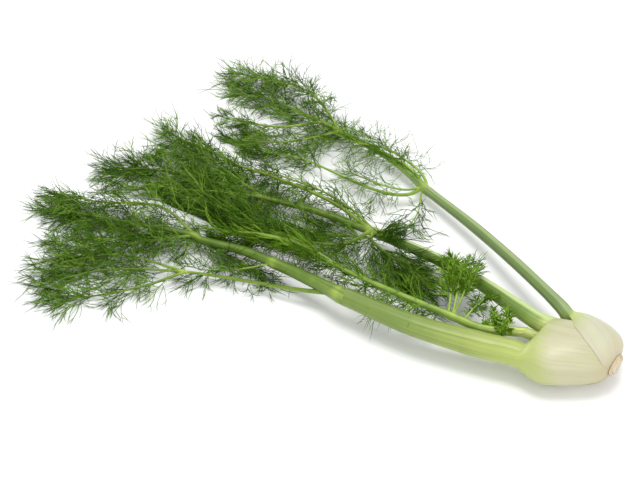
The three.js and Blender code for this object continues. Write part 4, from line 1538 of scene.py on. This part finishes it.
# ------------------------------------------------------------------ the whole plant
def arched(points: Rows, thick: Pair, reach: Pair, bare: float) -> Stem:
    """A thin stem with light, slender, loose threads, that arches over the frond's main one."""
    return Stem(points, thick, reach, bare, crowd=1.2, loose=(1.0, 0.9), plump=0.75, tone=0.5)


def plume(points: Rows, reach: Pair, loose: Pair = (0.4, 0.2)) -> Stem:
    """A stem with tight, crowded threads, that stands up over the fronds."""
    return Stem(points, (1.3, 0.6), reach, bare=14, crowd=2.1, loose=loose, tone=0.5)


def tuft(points: Rows, reach: Pair, crowd: float = 5.5, tone: float = 0.6) -> Stem:
    """A tiny stem of plump, crowded threads, low on a young frond's stalk."""
    return Stem(points, (1.2, 0.6), reach, bare=2, crowd=crowd, loose=(0.9, 0.9), plump=1.9, tone=tone)


LEAVES = (
    Leaf(node="back_stalk", layer=0, side=Side.BACK, opens=(4, 28), slot="dark_stalk",
         margins=((-39, 152, 142), (-24, 140, 110), (0, 122, 84), (14, 104, 68), (30, 78, 52)),
         route=((22, 32, 28), (3, 39, 31), (-7, 51, 35), (-41, 108, 30), (-80, 172, 20), (-123, 230, 14)),
         radii=((14, 7.2, 7), (50, 5.9, 5.7), (150, 5.5, 5.5), (222, 4.7, 4.7)),
         greening=((-6, 0.0), (5, 0.12), (14, 0.36), (22, 0.62), (38, 0.8), (150, 0.86), (222, 0.74)),
         finish=LeafFinish("back_leaf_skin", deep=(0.10, 0.16, 0.045), mid=(0.165, 0.245, 0.075)),
         ribs=26, rib_height=0.14, band_turn=95, band_width=34, band_strength=0.35, seed=3),
    Leaf(node="front_stalk", layer=1, side=Side.FRONT, opens=(12, 42), collar=(29, 37), slot="pale_stalk",
         margins=((-39, 150, 150), (-20, 140, 140), (0, 128, 132), (20, 110, 126), (32, 94, 122),
                  (42, 84, 84)),
         route=((-27, -23, 25), (-48, -5, 28), (-84, 8, 28), (-146, 31, 30), (-208, 67, 30)),
         radii=((24, 12, 11.6), (57, 12.6, 12.2), (85, 12.4, 12), (112, 11.2, 10.8), (166, 9.8, 9.6),
                (212, 8.4, 8.4)),
         greening=((-8, 0.0), (12, 0.16), (32, 0.4), (60, 0.48), (100, 0.58), (150, 0.74), (212, 0.8)),
         finish=LeafFinish("front_leaf_skin", deep=(0.10, 0.16, 0.03), mid=(0.175, 0.255, 0.045),
                           cream=(0.49, 0.475, 0.31), pale=(0.40, 0.45, 0.16), young=(0.36, 0.43, 0.11)),
         ribs=30, rib_height=0.17, seed=4),
    Leaf(node="middle_stalk", layer=2, side=Side.BACK, opens=(2, 32), slot="green_stalk",
         margins=((-39, 150, 150), (0, 136, 136), (20, 116, 116), (40, 88, 88)),
         route=((6, 23, 28), (-22, 30, 31), (-45, 49, 32), (-81, 92, 25), (-126, 133, 19),
                (-177, 167, 16)),
         radii=((20, 10.2, 9.8), (45, 8.9, 8.5), (86, 7.9, 7.6), (120, 6.8, 6.6), (170, 5.8, 5.6),
                (232, 5, 5)),
         greening=((26, 0.1), (34, 0.4), (42, 0.62), (54, 0.7), (90, 0.78), (232, 0.82)),
         finish=LeafFinish("middle_leaf_skin", deep=(0.07, 0.13, 0.015), mid=(0.15, 0.25, 0.035)),
         ribs=24, rib_height=0.3, band_turn=66, band_width=27, band_strength=1.0, seed=5),
    Leaf(node="heart_stalk", layer=3, side=Side.BACK, opens=(16, 40), slot="pale_stalk",
         margins=((-39, 88, 88), (44, 88, 88)),
         route=((-13, 6, 28), (-29, 16, 28), (-42, 24, 28)),
         radii=((20, 5.6, 5.4), (42, 5, 4.9), (50, 4.7, 4.6)),
         greening=((10, 0.05), (30, 0.22), (40, 0.44), (60, 0.5)),
         finish=LeafFinish("heart_leaf_skin", deep=(0.14, 0.22, 0.03), mid=(0.25, 0.36, 0.07)),
         ribs=14, rib_height=0.14, seed=6, outer_points=96, inner_points=96),
)

FRONDS = (
    Frond(node="back_frond", slot="frond", curtains=(("back_middle", 1),), seed=11,
          stem_finish=StemFinish("back_frond_stem", foot=(0.24, 0.36, 0.12)),
          thread_finish=ThreadFinish("back_frond_thread"),
          stems=(
              Stem(((-123, 230, 14), (-155, 274, 14), (-211, 322, 13), (-251, 352, 12), (-290, 381, 9),
                    (-312, 397, 5)), (4.6, 0.8), (34, 36), 106, 1.5),
              Stem(((-211, 322, 13), (-234, 366, 19), (-256, 389, 18), (-286, 407, 14), (-314, 418, 8)),
                   (1.6, 0.6), (16, 31), 16, 1.4, (0.9, 0.6)),
              Stem(((-230, 337, 13), (-279, 328, 14), (-331, 354, 5)), (1.5, 0.6), (42, 17), 10, 0.9),
              Stem(((-211, 322, 13), (-263, 306, 13), (-325, 318, 4)), (1.5, 0.6), (42, 28), 14),
              arched(((-126, 234, 15), (-127, 239, 16), (-136, 252, 20), (-148, 266, 20), (-164, 281, 19),
                      (-180, 293, 17), (-202, 311, 15)), (1.5, 0.6), (26, 32), 24),
              arched(((-124, 233, 15), (-123, 236, 16), (-129, 249, 21), (-145, 268, 22), (-167, 287, 22),
                      (-193, 296, 20), (-217, 314, 17)), (1.5, 0.6), (28, 32), 10),
              Stem(((-129, 234, 13), (-140, 225, 14), (-156, 224, 14), (-178, 232, 14), (-212, 254, 13),
                    (-250, 281, 11), (-296, 300, 5)), (2, 0.6), (28, 34), 112, 1.1, (0.9, 0.6)),
              arched(((-130, 233, 15), (-145, 228, 17), (-164, 232, 18), (-180, 240, 18),
                      (-202, 257, 15)), (1.2, 0.6), (30, 28), 16),
              Stem(((-128, 231, 13), (-131, 214, 14), (-133, 200, 14), (-139, 188, 12), (-146, 181, 9)),
                   (1, 0.5), (30, 22), 8, 0.9, (1.0, 1.0)),
          )),
    Frond(node="middle_frond", slot="frond", curtains=(("back_middle", -1), ("middle_front", 1)), seed=23,
          stem_finish=StemFinish("middle_frond_stem", foot=(0.140, 0.227, 0.033),
                                 green=(0.12, 0.205, 0.018)),
          thread_finish=ThreadFinish("middle_frond_thread"),
          stems=(
              Stem(((-177, 167, 16), (-237, 199, 15), (-290, 220, 14), (-357, 251, 12), (-412, 268, 9),
                    (-436, 271, 5)), (4.4, 0.8), (42, 30), 92, 1.7, tone=0.36, hang=0.25),
              Stem(((-182, 170, 18), (-219, 202, 24), (-286, 243, 24), (-317, 262, 20), (-352, 294, 14),
                    (-384, 316, 9)), (2.4, 0.8), (36, 34), 138, 1.6, (0.9, 0.6), tone=0.42, hang=0.3),
              Stem(((-290, 220, 14), (-345, 266, 21), (-384, 286, 14), (-404, 290, 6)),
                   (1.6, 0.6), (34, 20), 10),
              Stem(((-182, 168, 17), (-208, 150, 18), (-254, 156, 17), (-300, 182, 15), (-340, 208, 10)),
                   (2, 0.6), (30, 40), 14, 1.7, tone=0.3),
              Stem(((-290, 220, 14), (-330, 224, 18), (-372, 230, 15), (-400, 240, 9)),
                   (1.5, 0.6), (40, 34), 8, 1.4),
              Stem(((-179, 168, 18), (-169, 159, 26), (-157, 150, 31)),
                   (1.2, 0.6), (15, 11), 3, 3.6, (0.7, 0.4), tone=0.2),
              Stem(((-180, 166, 16), (-181, 150, 22), (-170, 136, 22), (-156, 121, 21), (-143, 106, 18)),
                   (1.9, 0.6), (36, 30), 6, 2.4, (0.5, 0.2), tone=0.3),
              Stem(((-181, 171, 19), (-196, 188, 24), (-222, 210, 27), (-262, 232, 28), (-300, 252, 25)),
                   (1.3, 0.6), (32, 34), 4, 1.7, (1.0, 0.8), hang=0.5),
              Stem(((-182, 163, 13), (-215, 171, 9), (-255, 179, 8), (-300, 192, 7), (-345, 214, 6)),
                   (1.4, 0.6), (34, 38), 6, 2.0, (0.6, 0.3), tone=0.3),
          )),
    Frond(node="front_frond", slot="frond", curtains=(("middle_front", -1), ("heart_front", -1)), seed=37,
          stem_finish=StemFinish("front_frond_stem", foot=(0.171, 0.253, 0.048),
                                 green=(0.115, 0.20, 0.02)),
          thread_finish=ThreadFinish("front_frond_thread"),
          stems=(
              Stem(((-208, 67, 30), (-259, 108, 23), (-310, 143, 19), (-356, 164, 16), (-431, 186, 14),
                    (-470, 198, 12), (-492, 207, 8)), (7.8, 0.8), (40, 30), 150, 1.5, hang=0.6),
              Stem(((-356, 164, 16), (-390, 193, 26), (-458, 210, 18), (-502, 232, 10)),
                   (1.6, 0.6), (36, 34), 6, 1.4, (0.8, 0.8), hang=0.3),
              Stem(((-356, 164, 16), (-427, 155, 12), (-480, 156, 6)), (1.7, 0.6), (40, 34), 2, 1.4),
              Stem(((-214, 71, 30), (-251, 88, 17), (-300, 104, 12), (-364, 117, 12), (-440, 124, 8),
                    (-486, 115, 4)), (2.6, 0.6), (32, 38), 172, 1.0, (0.8, 0.5), 0.9),
              Stem(((-364, 117, 12), (-397, 103, 9), (-434, 93, 7), (-474, 88, 4)),
                   (1.6, 0.6), (24, 38), 14, 0.9, (0.7, 0.5), 0.85),
              Stem(((-276, 120, 22), (-296, 117, 19), (-322, 116, 15), (-352, 119, 13)),
                   (1.1, 0.5), (24, 26), 6, 0.8, (0.9, 0.6)),
              Stem(((-364, 117, 12), (-428, 140, 13), (-478, 138, 6)),
                   (1.5, 0.6), (42, 34), 10, 0.8, (0.8, 0.6), 0.9),
              Stem(((-352, 162, 15), (-335, 148, 12), (-310, 132, 10), (-285, 116, 9)),
                   (0.9, 0.5), (30, 28), 3, 1.6, (1.0, 1.0), tone=0.25),
          )),
    Frond(node="heart_frond", slot="young_frond", curtains=(("middle_front", -1), ("heart_front", 1)),
          seed=41,
          stem_finish=StemFinish("heart_frond_stem", foot=(0.486, 0.562, 0.18), green=(0.22, 0.34, 0.06)),
          thread_finish=ThreadFinish("heart_frond_thread", dark=(0.03, 0.08, 0.002),
                                     green=(0.11, 0.24, 0.010), light=(0.30, 0.50, 0.06),
                                     tip=(0.13, 0.25, 0.02)),
          stems=(
              Stem(((-42, 24, 28), (-60, 24.5, 29), (-84, 28, 30), (-110, 42, 31), (-160, 68, 34),
                    (-217, 105, 34), (-253, 136, 34), (-291, 151, 29), (-340, 163, 18)),
                   (4.6, 1.2), (30, 42), 78, 1.8, hang=0.4),
              tuft(((-56, 25, 30), (-57, 31, 35), (-58, 37, 40)), (7, 5.5)),
              tuft(((-62, 25, 30), (-66, 31, 35), (-70, 36, 39)), (7.5, 6)),
              tuft(((-64, 25, 31), (-70, 28, 34), (-76, 29, 34)), (8, 6), crowd=5.0, tone=0.45),
              tuft(((-56, 25, 31), (-59, 22, 35), (-63, 20, 35)), (8, 6), tone=0.5),
              plume(((-108, 41, 31), (-104, 58, 40), (-100, 78, 46), (-97, 92, 46)), (18, 14)),
              plume(((-108, 41, 31), (-98, 58, 41), (-92, 76, 46), (-86, 90, 46)), (16, 13), (0.5, 0.3)),
              plume(((-112, 43, 31), (-109, 62, 41), (-107, 82, 47), (-106, 97, 47)), (18, 14)),
              Stem(((-98, 35, 31), (-88, 47, 36), (-76, 58, 38)),
                   (1.2, 0.6), (13, 11), 4, 2.2, (0.9, 0.9), 1.3, 0.3),
          )),
)


def main() -> None:
    """Builds the studio, the root plate, the leaves and the fronds, and notes the size."""
    logging.basicConfig(level=logging.INFO, format="%(name)s: %(message)s")
    Studio().build()
    for part in (RootPlate(), *LEAVES, *FRONDS):
        for piece in part.build():
            LOG.info("%s: %d faces", piece.name, len(piece.data.polygons))
    deselect_all()


if __name__ == "__main__":
    main()
